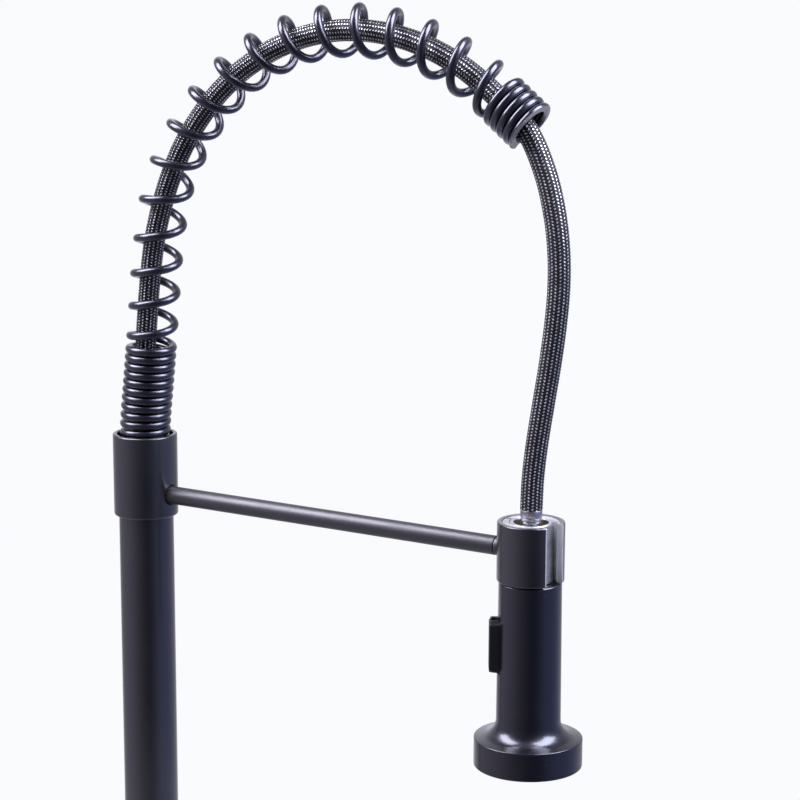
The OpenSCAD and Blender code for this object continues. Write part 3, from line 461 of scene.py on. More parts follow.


# the slot faces' band near the outer edge is a painted highlight, fading from dull to bright
milledSlot = {"halfWide": 6.0, "highlightFrom": 14.2, "highlightTo": 15.0,
              "dull": (0.6, 0.61, 0.65), "bright": (1.0, 1.0, 1.0)}
noseRecess = {"tone": (0.42, 0.38, 0.26), "radius": 8.35, "mouth": heights("hose_nut")["high"] - 0.3}
bodyTone, headTone = (0.0034, 0.0035, 0.0062), (0.0032, 0.0036, 0.0075)
finishes = {
    "blackBody": paintedBlack("blackPaint", bodyTone, 0.32, 0.02, 0.06),
    "headPaint": paintedBlack("headPaint", headTone, 0.32, 0.02, 0.06, 0.25, (0.8, 0.83, 1.0)),
    "dockPaint": paintedBlack("dockPaint", bodyTone, 0.32, 0.02, 0.06, bareCut=milledSlot),
    "blackArm": paintedBlack("armPaint", (0.0065, 0.006, 0.0085), 0.43, 0.14, 0.05, 0.62, coat=0.06),
    "blackSpring": paintedBlack("springPaint", (0.004, 0.004, 0.007), 0.31, 0.02, 0.05),
    "braid": braidedSleeve("braidedSleeve", (0.003, 0.003, 0.005), (0.9, 0.89, 0.93)),
    "cast": castMetal("castZinc", (0.84, 0.85, 0.88), 0.33, 0.5),
    "bright": turnedMetal("turnedNickel", (0.6, 0.59, 0.61), 0.24, 0.07),
    "nose": turnedMetal("platedNose", (0.84, 0.84, 0.86), 0.24, 0.08, noseRecess),
    "chrome": turnedMetal("chromeFitting", (0.68, 0.69, 0.71), 0.1, 0.15),
    "brass": turnedMetal("turnedBrass", (0.56, 0.4, 0.16), 0.24, 0.4),
    "steel": turnedMetal("zincedSteel", (0.46, 0.47, 0.49), 0.28, 0.3),
    "rubber": softRubber("blackRubber", (0.018, 0.018, 0.018)),
    "silicone": softRubber("greySilicone", (0.085, 0.085, 0.092)),
    "blackPlastic": mouldedPlastic("blackPlastic", (0.011, 0.0115, 0.016), 0.36, 0.25),
    "palePlastic": mouldedPlastic("paleAcetal", (0.66, 0.65, 0.6), 0.34, 0.2),
    "screen": mouldedPlastic("screenPlastic", (0.09, 0.09, 0.1), 0.4, 0.2),
    "indicator": mouldedPlastic("redPlug", (0.32, 0.012, 0.012), 0.2, 0.1),
}
slotFinish = {
    "black_finish": "blackBody", "arm_finish": "blackArm", "spring_finish": "blackSpring", "braid": "braid",
    "bare_metal": "cast", "chrome": "chrome", "brass": "brass", "steel": "steel", "rubber": "rubber",
    "silicone": "silicone", "black_plastic": "blackPlastic", "pale_plastic": "palePlastic",
    "screen": "screen", "indicator": "indicator",
}
for part in frame["record"]["subparts"]:
    for materialSlot in frame["nodes"][part["node"]].material_slots:
        materialSlot.material = finishes[slotFinish[part["material_slot"]]]
print("materials mixed:", len(finishes))

# braided hose, from the collar through the spring's arch to the head
hose = {
    "ringStep": 0.3875, "sides": 64, "fine": 24, "pathStep": 12, "groove": 0.75,
    "route": [  # sideways, reach, height above the collar
        (0, 0, 8), (-0.4, 0.7, 18), (-1, 1.4, 30), (-1.5, 2.4, 43), (-1.55, 3.7, 57), (-1.5, 5.1, 71),
        (-1.4, 6.8, 85), (-1.2, 9, 99), (-0.9, 12.6, 113.5), (-0.5, 18.3, 130), (-0.2, 26.6, 147),
        (0, 37.8, 163), (0, 51.3, 177.2), (0, 66.8, 189), (0, 85.3, 198.7), (0, 104.5, 204.8),
        (0, 124, 207.3), (0, 144.1, 206.3), (0, 163.5, 201.9), (0, 181.8, 194.3), (0, 196, 185.6),
        (0, 209, 175.2), (0, 220.8, 163.6), (0, 229.4, 146.6), (0, 234.4, 129.5), (0, 237, 112.5),
        (0, 237.5, 95.5), (0, 236.2, 78), (0, 233.6, 58.5), (0, 230.4, 39), (0, 227.4, 20),
        (0, 225.6, 4), (0, 225, -10.7)],
}


def followPull(piece, node, finish):
    piece.data.materials.append(finish)
    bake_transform(piece)
    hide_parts(node)


def smoothRoute(points, fine):  # a curve through the points
    line, last = [], len(points) - 1
    for index in range(last):
        before, here, there, after = (points[min(max(index + step, 0), last)] for step in (-1, 0, 1, 2))
        for count in range(fine):
            t = count / fine
            bent = (2 * before - 5 * here + 4 * there - after) * t * t
            twisted = (3 * here - before - 3 * there + after) * t ** 3
            line.append(0.5 * (2 * here + (there - before) * t + bent + twisted))
    return line + [points[-1]]


def evenly(line, step):  # points a fixed distance apart along a line
    total = sum((b - a).length for a, b in zip(line, line[1:]))
    count = round(total / step)
    step = total / count
    placed, gone, index = [line[0]], 0.0, 0
    for number in range(1, count):
        target = number * step
        while gone + (line[index + 1] - line[index]).length < target:
            gone += (line[index + 1] - line[index]).length
            index += 1
        span = line[index + 1] - line[index]
        placed.append(line[index] + span * ((target - gone) / span.length))
    return placed + [line[-1]], total


def strandLift(column, row):  # height of the woven surface at a place in the braid's grid
    number = floor(column + hair)
    odd = number % 2
    run, side = weave(column - number - 0.5, (row + odd / 2) % 1 - 0.5, 1 - 2 * odd)
    return max(0.0, 1 - (run / braid["strandLong"]) ** 2 - (side / braid["strandWide"]) ** 2)


def braidedHose():
    points = [Vector((x, -reach, 0)) * mm + Vector((0, 0, collarTop + height * mm))
              for x, reach, height in hose["route"]]
    line, total = evenly(smoothRoute(points, hose["fine"]), hose["ringStep"] * mm)
    shape = bmesh.new()
    grid = shape.loops.layers.uv.new("braid")
    rings, sides = [], hose["sides"]
    corners = ((0, 0), (1, 0), (1, 1), (0, 1))

    def column(count):
        return count * braid["columns"] / sides

    def row(index):
        return index * hose["ringStep"] * mm / braid["cell"]

    for index, point in enumerate(line):
        forward = (line[min(index + 1, len(line) - 1)] - line[max(index - 1, 0)]).normalized()
        if index in (0, len(line) - 1):  # both ends are cut level
            forward = Vector((0, 0, -1 if index else 1))
        side = (Vector((1, 0, 0)) - forward * forward.x).normalized()
        up = side.cross(forward)
        ring = []
        for count in range(sides):
            angle = 2 * pi * count / sides
            lift = strandLift(column(count), row(index)) - hose["groove"]
            radius = braid["radius"] + braid["relief"] * lift
            ring.append(shape.verts.new(point + radius * (cos(angle) * side + sin(angle) * up)))
        rings.append(ring)
    for index in range(len(rings) - 1):
        for count in range(sides):
            places = [(index + ahead, (count + around) % sides) for ahead, around in corners]
            face = shape.faces.new([rings[ring][place] for ring, place in places])
            face.smooth = True
            for loop, (ahead, around) in zip(face.loops, corners):
                loop[grid].uv = (column(count + around), row(index + ahead))
    for end in (rings[0], rings[-1][::-1]):
        shape.faces.new(end)
    bmesh.ops.recalc_face_normals(shape, faces=shape.faces)
    mesh = bpy.data.meshes.new("braidedHose")
    shape.to_mesh(mesh)
    shape.free()
    piece = bpy.data.objects.new("braidedHose", mesh)
    bpy.context.collection.objects.link(piece)
    followPull(piece, "braided_hose", finishes["braid"])
    print("hose braided: %.0f mm long, %d rings" % (total / mm, len(rings)))


braidedHose()

# spring, one wire wound along the arch
coil = {
    "wire": 4.2, "outside": 26.2, "trim": 0.998, "pocket": 13.0, "perTurn": 32, "turns": 34.9,
    "turnedBack": 13.4, "ground": 1.0,
    "pitches": [(0, 4.5), (6, 4.5), (6.4, 4.25), (12.85, 4.25), (13.75, 15.7), (15.85, 17.4), (17.05, 19.8),
                (24.2, 19.8), (27.2, 17.9), (29.5, 17.9), (30.4, 4.25)],  # turns from the lower end, pitch
    "slopes": [(-9, 90), (16, 82.9), (76, 84.6), (110, 80), (150, 59.7), (215, 30.2), (300, -12.9),
               (342, -32.4), (357, -38.4)],  # length above the collar, slope in degrees
}


def between(value, table):  # straight lines between the table's points
    if value <= table[0][0]:
        return table[0][1]
    for (x0, y0), (x1, y1) in zip(table, table[1:]):
        if value <= x1:
            return y0 + (y1 - y0) * (value - x0) / (x1 - x0)
    return table[-1][1]


def wireLine():  # the wire's middle line, where it ends and which way that end faces
    radius = (coil["outside"] - coil["wire"]) / 2
    length = height = -coil["pocket"] + coil["wire"] / 2
    reach, line = 0.0, []
    for index in range(round(coil["turns"] * coil["perTurn"]) + 1):
        turns = index / coil["perTurn"]
        slope = radians(between(length, coil["slopes"]))
        around = 2 * pi * (turns - coil["turnedBack"])
        out = Vector((0, sin(slope), cos(slope)))
        centre = Vector((0, -reach, collarTop / mm + height))
        line.append((centre + radius * (cos(around) * out + sin(around) * Vector((-1, 0, 0)))) * mm)
        step = between(turns, coil["pitches"]) / coil["perTurn"]
        ahead = radians(between(length + step / 2, coil["slopes"]))
        length, reach, height = length + step, reach + step * cos(ahead), height + step * sin(ahead)
    return line, centre * mm, Vector((0, -cos(slope), sin(slope)))


def coilSpring():
    line, endMiddle, facing = wireLine()
    standClear()
    bpy.ops.curve.primitive_nurbs_path_add(enter_editmode=True)
    bpy.ops.curve.spline_type_set(type="POLY")
    bpy.ops.object.mode_set(mode="OBJECT")
    piece = bpy.context.object
    piece.name = "coilSpring"
    wire = piece.data.splines[0]
    wire.points.add(len(line) - len(wire.points))
    for point, place in zip(wire.points, line):
        point.co = (*place, 1)
    piece.data.bevel_depth = coil["wire"] / 2 * mm * coil["trim"]
    piece.data.bevel_resolution = 6
    piece.data.use_fill_caps = True
    bpy.ops.object.convert(target="MESH")
    piece = bpy.context.object
    bpy.ops.object.mode_set(mode="EDIT")
    bpy.ops.mesh.select_all(action="SELECT")
    bpy.ops.mesh.remove_doubles(threshold=hair / 10)
    groundAt = endMiddle - facing * coil["ground"] * mm
    bpy.ops.mesh.bisect(plane_co=groundAt, plane_no=facing, use_fill=True, clear_outer=True)
    bpy.ops.mesh.select_all(action="SELECT")
    bpy.ops.mesh.normals_make_consistent(inside=False)
    bpy.ops.object.mode_set(mode="OBJECT")
    smooth(piece, 50)
    paint = paintedBlack("groundSpringPaint", (0.005, 0.0053, 0.0125), 0.3, 0.02, 0.05, 0.32,
                         (0.8, 0.81, 1.0), groundFace=(groundAt, facing))
    followPull(piece, "coil_spring", paint)
    print("spring wound:", len(piece.data.polygons), "faces")


coilSpring()

# riser, its foot and the collar that holds the spring
drill = {"length": 20 * mm, "away": 22 * mm}  # cross tools start 12 mm from the axis
riser = {"radius": 14.0, "bore": 12.5, **heights("riser_tube")}
foot = {"radius": 16.0, "bore": 14.05, "screwHole": 2.5, "screwHeight": 100.0, **heights("riser_foot")}
collar = {
    "radius": 16.5, "bore": 14.05, "pocket": 14.3, "pocketDeep": 13.0, "neck": 7.0, "seatDeep": 22.7,
    "socket": 4.65, "socketMouth": 6.0, "mouthDeep": 1.5, "mouthAway": 16.35, "screwHole": 2.5,
    **heights("spring_collar"),
}


def riserTube():
    r = riser
    piece = turned("riserTube", [(r["radius"], r["low"], 0.2), (r["radius"], r["high"], 0.3),
                                 (r["bore"], r["high"], 0.2), (r["bore"], r["low"], 0.2)], steps=3)
    stand(piece, "riser_tube", "spout", "blackBody")


def riserFoot():
    f = foot
    piece = turned("riserFoot", [(f["radius"], f["low"], 0.5), (f["radius"], f["high"], 1.1),
                                 (f["bore"], f["high"], 0.2), (f["bore"], f["low"], 0.2)])
    work(piece, rod(f["screwHole"] * mm, drill["length"], (0, 20 * mm, f["screwHeight"] * mm), lying, 48))
    breakEdges(piece, 0.15 * mm)
    stand(piece, "riser_foot", "spout", "blackBody")


def springCollar():
    c = collar
    pocketFloor, seat = c["high"] - c["pocketDeep"], c["high"] - c["seatDeep"]
    piece = turned("springCollar", [
        (c["bore"], c["low"], 0.4), (c["radius"], c["low"], 1.0), (c["radius"], c["high"], 0.85),
        (c["pocket"], c["high"], 0.6), (c["pocket"], pocketFloor, 0.5), (c["neck"], pocketFloor),
        (c["neck"], seat), (c["bore"], seat)], sides=144)
    work(piece, rod(c["socket"] * mm, drill["length"], (0, -drill["away"], armHeight), lying))
    work(piece, rod(c["socket"] * mm, c["mouthDeep"] * mm, (0, -c["mouthAway"] * mm, armHeight), lying,
                    tip=c["socketMouth"] * mm))
    work(piece, rod(c["screwHole"] * mm, drill["length"], (0, drill["away"], armHeight), lying, 48))
    breakEdges(piece, 0.2 * mm)
    stand(piece, "spring_collar", "spout", "blackBody")


riserTube()
riserFoot()
springCollar()
print("riser and collar turned")

# docking arm, with its seam ring
arm = {"radius": 4.6, "from": 14.15, "to": 206.95, "stud": 3.0, "studEnd": 213.6}
seam = {"radius": 4.6, "from": 207.05, "to": 211.3, "bore": 3.05, "edge": 0.4, "fit": 0.05}


def alongArm(piece):  # from Z upwards to the reach of the arm
    settle(piece, (0, 0, armHeight), lying)


def supportArm():
    a = arm
    piece = turned("supportArm", [
        (0, a["from"]), (a["radius"], a["from"], 0.6), (a["radius"], a["to"], 0.45),
        (a["stud"], a["to"]), (a["stud"], a["studEnd"], 0.3), (0, a["studEnd"])], sides=64)
    alongArm(piece)
    stand(piece, "support_arm", "spout", "blackArm")


def armEndRing():
    s = seam
    piece = turned("armEndRing", [(s["bore"], s["from"]), (s["radius"], s["from"], s["edge"]),
                                  (s["radius"], s["to"]), (s["bore"], s["to"])], sides=64)
    alongArm(piece)
    work(piece, rod(dock["radius"] * mm + s["fit"] * mm, 60 * mm, atDock(0), sides=128))
    breakEdges(piece, 0.1 * mm)
    stand(piece, "arm_end_ring", "spout", "blackArm")


# dock: painted ring over a bare cast liner, both slotted for the hose
dock = {
    "radius": 15.95, "inside": 13.55, "slot": 11.0, "slotReach": 32.0, "slotTall": 40.0, "broadEdge": 0.5,
    "liner": 13.5, "linerShort": 0.3, "seatLow": 11.05, "seatHigh": 10.3, "hollow": 12.4, "hollowWide": 8.5,
    "studHole": 3.05, "studReach": 11.35, "screwHole": 0.95, "screwReach": 12.3,
    "mouth": 1.4, "mouthReach": 11.9, "mouthDeep": 1.6, **heights("dock_ring"),
}


def atDock(reach, above=0.0):  # back from the head's axis, above the arm
    return headAxis + Vector((0, reach * mm, armHeight + above * mm))


def slotWays():  # out through the slot, and across it
    return Vector((cos(slotHeading), sin(slotHeading), 0)), Vector((-sin(slotHeading), cos(slotHeading), 0))


def slotTool(wide, sideways=0.0):  # from the dock's axis outwards
    outward, aside = slotWays()
    centre = headAxis + (outward * dock["slotReach"] / 2 + aside * sideways) * mm
    centre += Vector((0, 0, (dock["low"] + dock["high"]) / 2 * mm))
    return block((dock["slotReach"] * mm, wide * mm, dock["slotTall"] * mm), centre, slotHeading)


def dockRing():
    d = dock
    outward, aside = slotWays()
    piece = turned("dockRing", [(d["inside"], d["low"], 0.2), (d["radius"], d["low"], 0.9),
                                (d["radius"], d["high"], 0.6), (d["inside"], d["high"], 0.15)], sides=144)
    settle(piece, headAxis)
    work(piece, slotTool(d["slot"]))

    def atMouth(edge):  # the slot's outer corner that the mill left broad
        away = edge.verts[0].co - headAxis
        outside = away.xy.length > (d["radius"] - 0.1) * mm and away.dot(outward) > 0
        return outside and abs(along(edge).z) > 0.99 and abs(away.dot(aside) + d["slot"] / 2 * mm) < 50 * hair

    roundOff(piece, "edges", atMouth, d["broadEdge"], 4)
    work(piece, rod(d["studHole"] * mm, 16 * mm, atDock(14), lying, 48))
    breakEdges(piece, 0.2 * mm, 3)
    stand(piece, "dock_ring", "spout", "dockPaint")


def dockLiner():
    d = dock
    low, high = d["low"] + d["linerShort"], d["high"] - d["linerShort"]
    piece = turned("dockLiner", [(d["seatLow"], low, 0.3), (d["liner"], low, 0.1), (d["liner"], high, 0.3),
                                 (d["seatHigh"], high, 0.3)], sides=144)
    settle(piece, headAxis)
    work(piece, slotTool(d["slot"]))
    hollow = slotTool(d["hollowWide"], d["hollowWide"] / 2)
    work(piece, work(hollow, rod(d["hollow"] * mm, 60 * mm, atDock(0), sides=144), "INTERSECT"))
    work(piece, rod(d["studHole"] * mm, 8 * mm, atDock(d["studReach"] + 4), lying, 48))
    work(piece, rod(d["screwHole"] * mm, 30 * mm, atDock(d["screwReach"], 15), sides=32))
    mouth = headAxis + Vector((0, d["mouthReach"], high)) * mm
    work(piece, rod(d["mouth"] * mm, 2 * d["mouthDeep"] * mm, mouth, sides=48))
    breakEdges(piece, 0.15 * mm)
    stand(piece, "dock_liner", "spout", "cast")


supportArm()
armEndRing()
dockRing()
dockLiner()
print("arm and dock fitted")

# hose end: crimped ferrule and the stem that runs into the head
ferrule = {"radius": 5.2, "bore": 3.0, "crimp": 1.45, "crimpDeep": 0.6, "skirtIn": 0.2,
           **heights("hose_ferrule")}
stem = {"neck": 4.7, "bore": 3.0, "flange": 6.1, "flangeThick": 3.0, **heights("hose_stem")}


def hoseFerrule():
    f = ferrule
    crimp, skirt = f["low"] + f["crimp"], f["radius"] - f["skirtIn"]
    piece = turned("hoseFerrule", [
        (f["bore"], f["low"]), (skirt, f["low"], 0.3), (skirt, crimp - 0.2, 0.1),
        (f["radius"] - f["crimpDeep"], crimp, 0.08), (f["radius"], crimp + 0.3, 0.2),
        (f["radius"], f["high"], 0.3), (f["bore"], f["high"])], sides=96, steps=3)
    settle(piece, headAxis)
    stand(piece, "hose_ferrule", "hose_end", "bright")


def hoseStem():
    s = stem
    flangeTop = s["low"] + s["flangeThick"]
    piece = turned("hoseStem", [
        (s["bore"], s["low"]), (s["flange"], s["low"], 0.3), (s["flange"], flangeTop, 0.3),
        (s["neck"], flangeTop, 0.2), (s["neck"], s["high"], 0.3), (s["bore"], s["high"])], sides=96, steps=3)
    settle(piece, headAxis)
    stand(piece, "hose_stem", "hose_end", "chrome")


hoseFerrule()
hoseStem()

# spray head: shell with its flared bell, and the rocker
shell = {
    "bell": 25.85, "band": 13.6, "gripLow": 15.4, "gripHigh": 14.9, "cove": 6.9, "coveRise": 2.0,
    "inside": 12.6, "insideLow": 19.0, "capHole": 8.7, "cap": 3.0, "chamber": 22.9, "chamberHigh": 10.6,
    "chamberLow": 4.2, "plate": 23.85, **heights("head_shell"),
}
padTop = heights("rocker_button")["high"]
rocker = {
    "heading": radians(121), "width": 10.6, "low": padTop - 24.3, "high": padTop, "out": 19.1, "in": 14.1,
    "tail": 0.35, "slant": 0.7, "corner": 1.9, "rim": 0.55, "gap": 0.35, "notch": 0.35,
    "nub": 1.9, "nubWide": 2.4, "nubOut": 18.7, "nubRound": 0.85,
    "bossIn": 9.4, "bossOut": 20.0, "bossWidth": 15.6,
    "hinge": 12.2, "hingeHeight": padTop - 3, "hingeHalf": 2.0, "pin": 0.85, "openOut": 26.0,
}


def onRocker(outward, sideways, height):  # a place in the rocker's own directions, in millimetres
    heading = rocker["heading"]
    return headAxis + Vector((outward * cos(heading) - sideways * sin(heading),
                              outward * sin(heading) + sideways * cos(heading), height)) * mm


def rockerBlock(inner, outer, width, low, high, rounding=0.0, steps=3):
    return block(((outer - inner) * mm, width * mm, (high - low) * mm),
                 onRocker((inner + outer) / 2, 0, (low + high) / 2), rocker["heading"], rounding * mm, steps)


def headShell():
    s, k = shell, rocker
    bandTop, capLow = s["low"] + s["band"], s["high"] - s["cap"]
    chamberHigh, chamberLow = s["low"] + s["chamberHigh"], s["low"] + s["chamberLow"]
    piece = turned("headShell", [
        (s["plate"], s["low"], 0.3), (s["bell"], s["low"], 0.5), (s["bell"], bandTop, 0.4),
        (s["gripLow"], bandTop + s["coveRise"], s["cove"]), (s["gripHigh"], s["high"], 0.9),
        (s["capHole"], s["high"], 0.3), (s["capHole"], capLow), (s["inside"], capLow),
        (s["inside"], s["low"] + s["insideLow"]), (s["chamber"], chamberHigh),
        (s["chamber"], chamberLow), (s["plate"], chamberLow)], sides=160, steps=14)
    settle(piece, headAxis)
    nubLow, gapWide = k["high"] + k["notch"], k["width"] + 2 * k["gap"]
    nubHigh = nubLow + k["nub"]
    core = rod((s["gripHigh"] - 0.4) * mm, 80 * mm, headAxis + Vector((0, 0, k["high"] * mm)), sides=160)
    boss = rockerBlock(k["bossIn"], k["bossOut"], k["bossWidth"], k["low"] - 2.4, nubHigh + 1)
    work(piece, work(boss, core, "INTERSECT"), "UNION")
    nub = rockerBlock(s["gripHigh"] - 1, k["nubOut"], k["nubWide"], nubLow, nubHigh, k["nubRound"], 5)
    work(piece, nub, "UNION")
    work(piece, rockerBlock(k["in"] - 2.4, k["openOut"], gapWide, k["low"] - 0.6, nubLow))
    work(piece, rockerBlock(k["hinge"] - 1.9, k["openOut"], gapWide, k["hingeHeight"] - 3.3, nubLow))
    breakEdges(piece, 0.15 * mm)
    stand(piece, "head_shell", "spray_head", "headPaint")


def rockerButton():
    k = rocker
    low = k["low"] - k["tail"]
    piece = rockerBlock(k["in"], k["out"], k["width"], low, k["high"])
    outward = (onRocker(1, 0, 0) - onRocker(0, 0, 0)).normalized()

    def onFace(vert):
        return (vert.co - headAxis).dot(outward) > (k["out"] - 0.1) * mm

    def isPad(face):
        return face.normal.dot(outward) > 0.98 and all(onFace(vert) for vert in face.verts)

    # the lower outer edge slants in, then the pad's corners and its rim are rounded
    takeUp(piece)
    bpy.ops.object.mode_set(mode="EDIT")
    choose(piece, "verts", lambda vert: onFace(vert) and vert.co.z < low * mm + 10 * hair)
    bpy.ops.transform.translate(value=(0, 0, k["slant"] * mm))
    roundOff(piece, "edges", lambda edge: abs(along(edge).dot(outward)) > 0.9, k["corner"], 6)
    roundOff(piece, "faces", isPad, k["rim"], 4)
    centre, half = k["hingeHeight"], k["hingeHalf"]
    hinge = rockerBlock(k["hinge"] - 1.5, k["in"] + 0.6, k["width"] - 0.02, centre - half, centre + half, 0.3)
    work(piece, hinge, "UNION")
    work(piece, rod(k["pin"] * mm, 30 * mm, onRocker(k["hinge"], 0, centre), (pi / 2, 0, k["heading"]), 32))
    stand(piece, "rocker_button", "rocker", "blackPlastic")


nose = {
    "skirt": 7.7, "skirtDeep": 2.5, "wide": 10.75, "narrow": 10.0, "short": 0.3,
    "recess": 8.2, "recessDeep": 6.5, "neck": 4.75, "neckDeep": 13.2, "thread": 6.25,
}


def dockingNose():  # nut on the head whose taper seats in the dock
    n, low, high = nose, dock["low"], dock["high"]
    skirt, floorLevel, neckLow = shell["high"] - n["skirtDeep"], high - n["recessDeep"], high - n["neckDeep"]
    top = high - n["short"]
    piece = turned("dockingNose", [
        (n["thread"], skirt), (n["skirt"], skirt, 0.2), (n["skirt"], low), (n["wide"], low, 0.45),
        (n["narrow"], top, 0.6), (n["recess"], top, 0.35), (n["recess"], floorLevel, 0.4),
        (n["neck"], floorLevel, 0.15), (n["neck"], neckLow), (n["thread"], neckLow)], sides=144)
    settle(piece, headAxis)
    stand(piece, "hose_nut", "spray_head", "nose")


headShell()
rockerButton()
dockingNose()
print("spray head shaped")

# body with its side valve, the flange and the lever
bodyShape = {
    "radius": 22.5, "low": 4.5, "high": 90.0, "round": 4.0, "spigot": 12.45, "spigotTop": 132.0,
    "bore": 6.0, "boreFloor": 58.0, "boss": 19.0, "bossEnd": 40.0, "seam": 1.2,
    "mouth": 16.45, "mouthDepth": 4.0, "seat": 13.7, "seatStart": 16.0,
    "shankBore": 16.05, "shankDepth": 12.0, "inlet": 4.5, "inletAside": 7.0, "inletHeight": 16.5,
}
valveHeight = 45.0 * mm
flange = {"radius": 27.0, "low": 0.0, "high": 6.0, "seat": 22.55, "seatFloor": 4.5, "bore": 16.05,
          "groove": 24.8, "grooveIn": 20.25, "grooveDeep": 1.6}
dome = {"pivot": 44.0, "radius": 18.5, "wall": 1.9, "open": 12.0, "start": 40.05,
        "skirt": 16.4, "skirtIn": 14.4, "skirtDepth": 3.95}
hub = {"radius": 19.0, "from": 50.0, "to": 72.0, "edge": 1.5, "cavity": 18.9,
       "stem": 4.05, "stemFrom": 40.0, "stemEnd": 70.05, "socket": 62.0, "socketRadius": 4.05,
       "screw": 2.5, "plug": 3.0, "plugDeep": 2.2, "screwPlace": 66.0}
lever = {"radius": 4.0, "place": 62.0, "low": 9.55, "high": 70.0, "tip": 3.2}


def alongValve(piece):  # from Z upwards to the valve's axis, towards +X
    return settle(piece, (0, 0, valveHeight), (0, pi / 2, 0))


def faucetBody():
    b = bodyShape
    end, step = b["bossEnd"], b["bossEnd"] - b["mouthDepth"]
    piece = turned("faucetBody", [
        (0, b["low"]), (b["radius"], b["low"], 0.5), (b["radius"], b["high"], b["round"]),
        (b["spigot"], b["high"], 0.1), (b["spigot"], b["spigotTop"], 1.2), (b["bore"], b["spigotTop"], 0.3),
        (b["bore"], b["boreFloor"]), (0, b["boreFloor"])], sides=160, steps=8)
    boss = turned("boss", [(0, 0), (b["boss"], 0), (b["boss"], end, 0.5), (0, end)], sides=144, steps=3)
    work(piece, alongValve(boss), "UNION")

    def onSeam(edge):  # the line where the boss leaves the round body
        return all(abs(hypot(vert.co.x, vert.co.y) - b["radius"] * mm) < 40 * hair and vert.co.x > mm
                   and abs(hypot(vert.co.y, vert.co.z - valveHeight) - b["boss"] * mm) < 40 * hair
                   for vert in edge.verts)

    roundOff(piece, "edges", onSeam, b["seam"], 4)
    seat = turned("seat", [(0, b["seatStart"]), (b["seat"], b["seatStart"]), (b["seat"], step),
                           (b["mouth"], step), (b["mouth"], end + 1), (0, end + 1)], sides=96)
    work(piece, alongValve(seat))
    work(piece, rod(b["shankBore"] * mm, 24 * mm, (0, 0, (b["low"] + b["shankDepth"] - 12) * mm), sides=96))
    for aside in (-b["inletAside"], b["inletAside"]):  # inlets for the two supply hoses
        work(piece, rod(b["inlet"] * mm, 24 * mm, (0, aside * mm, b["inletHeight"] * mm), sides=48))
    stand(piece, "faucet_body", "base", "blackBody")


def baseFlange():
    f = flange
    piece = turned("baseFlange", [
        (f["groove"], f["low"], 0.15), (f["radius"], f["low"], 0.3), (f["radius"], f["high"], 1.4),
        (f["seat"], f["high"], 0.2), (f["seat"], f["seatFloor"]), (f["bore"], f["seatFloor"]),
        (f["bore"], f["low"], 0.2), (f["grooveIn"], f["low"], 0.15), (f["grooveIn"], f["grooveDeep"]),
        (f["groove"], f["grooveDeep"])], sides=160)
    stand(piece, "base_flange", "base", "blackBody")


def valveDome():
    d = dome

    def arc(radius):  # from the ball's middle up to the opening
        turns = [radians(angle) for angle in range(0, 51, 5)]
        return [(radius * cos(a), d["pivot"] + radius * sin(a)) for a in turns if radius * cos(a) > d["open"]]

    def rim(radius):
        return d["pivot"] + sqrt(radius ** 2 - d["open"] ** 2)

    within, skirtLow = d["radius"] - d["wall"], d["start"] - d["skirtDepth"]
    piece = turned("valveDome", [
        (d["skirt"], d["start"]), (d["radius"] - 0.4, d["start"], 0.3), *arc(d["radius"]),
        (d["open"], rim(d["radius"]) - 0.05, 0.2), (d["open"], rim(within)), *arc(within)[::-1],
        (d["skirtIn"], d["start"] + 1), (d["skirtIn"], skirtLow, 0.2), (d["skirt"], skirtLow, 0.3)],
        sides=144, steps=3)
    alongValve(piece)
    stand(piece, "valve_dome", "base", "blackBody")


def leverHub():
    h = hub
    piece = turned("leverHub", [(0, h["from"]), (h["radius"], h["from"], 0.4),
                                (h["radius"], h["to"], h["edge"]), (0, h["to"])], sides=144)
    alongValve(piece)
    standClear()
    bpy.ops.mesh.primitive_uv_sphere_add(segments=96, ring_count=48, radius=h["cavity"] * mm)
    work(piece, settle(bpy.context.object, (dome["pivot"] * mm, 0, valveHeight)))
    stemHole, plugAt = h["stemEnd"] - h["stemFrom"], h["plugDeep"] - h["radius"] - 9.5
    stemMiddle = ((h["stemEnd"] + h["stemFrom"]) / 2 * mm, 0, valveHeight)
    work(piece, rod(h["stem"] * mm, stemHole * mm, stemMiddle, (0, pi / 2, 0), 48))
    work(piece, rod(h["socketRadius"] * mm, 19 * mm, (h["socket"] * mm, 0, valveHeight + 19 * mm)))
    work(piece, rod(h["screw"] * mm, 20 * mm, (h["screwPlace"] * mm, -10 * mm, valveHeight), lying, 32))
    work(piece, rod(h["plug"] * mm, 19 * mm, (h["screwPlace"] * mm, plugAt * mm, valveHeight), lying, 48))
    breakEdges(piece, 0.18 * mm)
    stand(piece, "lever_hub", "lever", "blackBody")


def leverRod():
    v = lever
    piece = turned("leverRod", [(0, v["low"]), (v["radius"], v["low"], 0.5),
                                (v["radius"], v["high"], v["tip"]), (0, v["high"])], sides=64, steps=10)
    settle(piece, (v["place"] * mm, 0, valveHeight))
    stand(piece, "lever_rod", "lever", "blackArm")


faucetBody()
baseFlange()
valveDome()
leverHub()
leverRod()
print("body, valve and lever made")

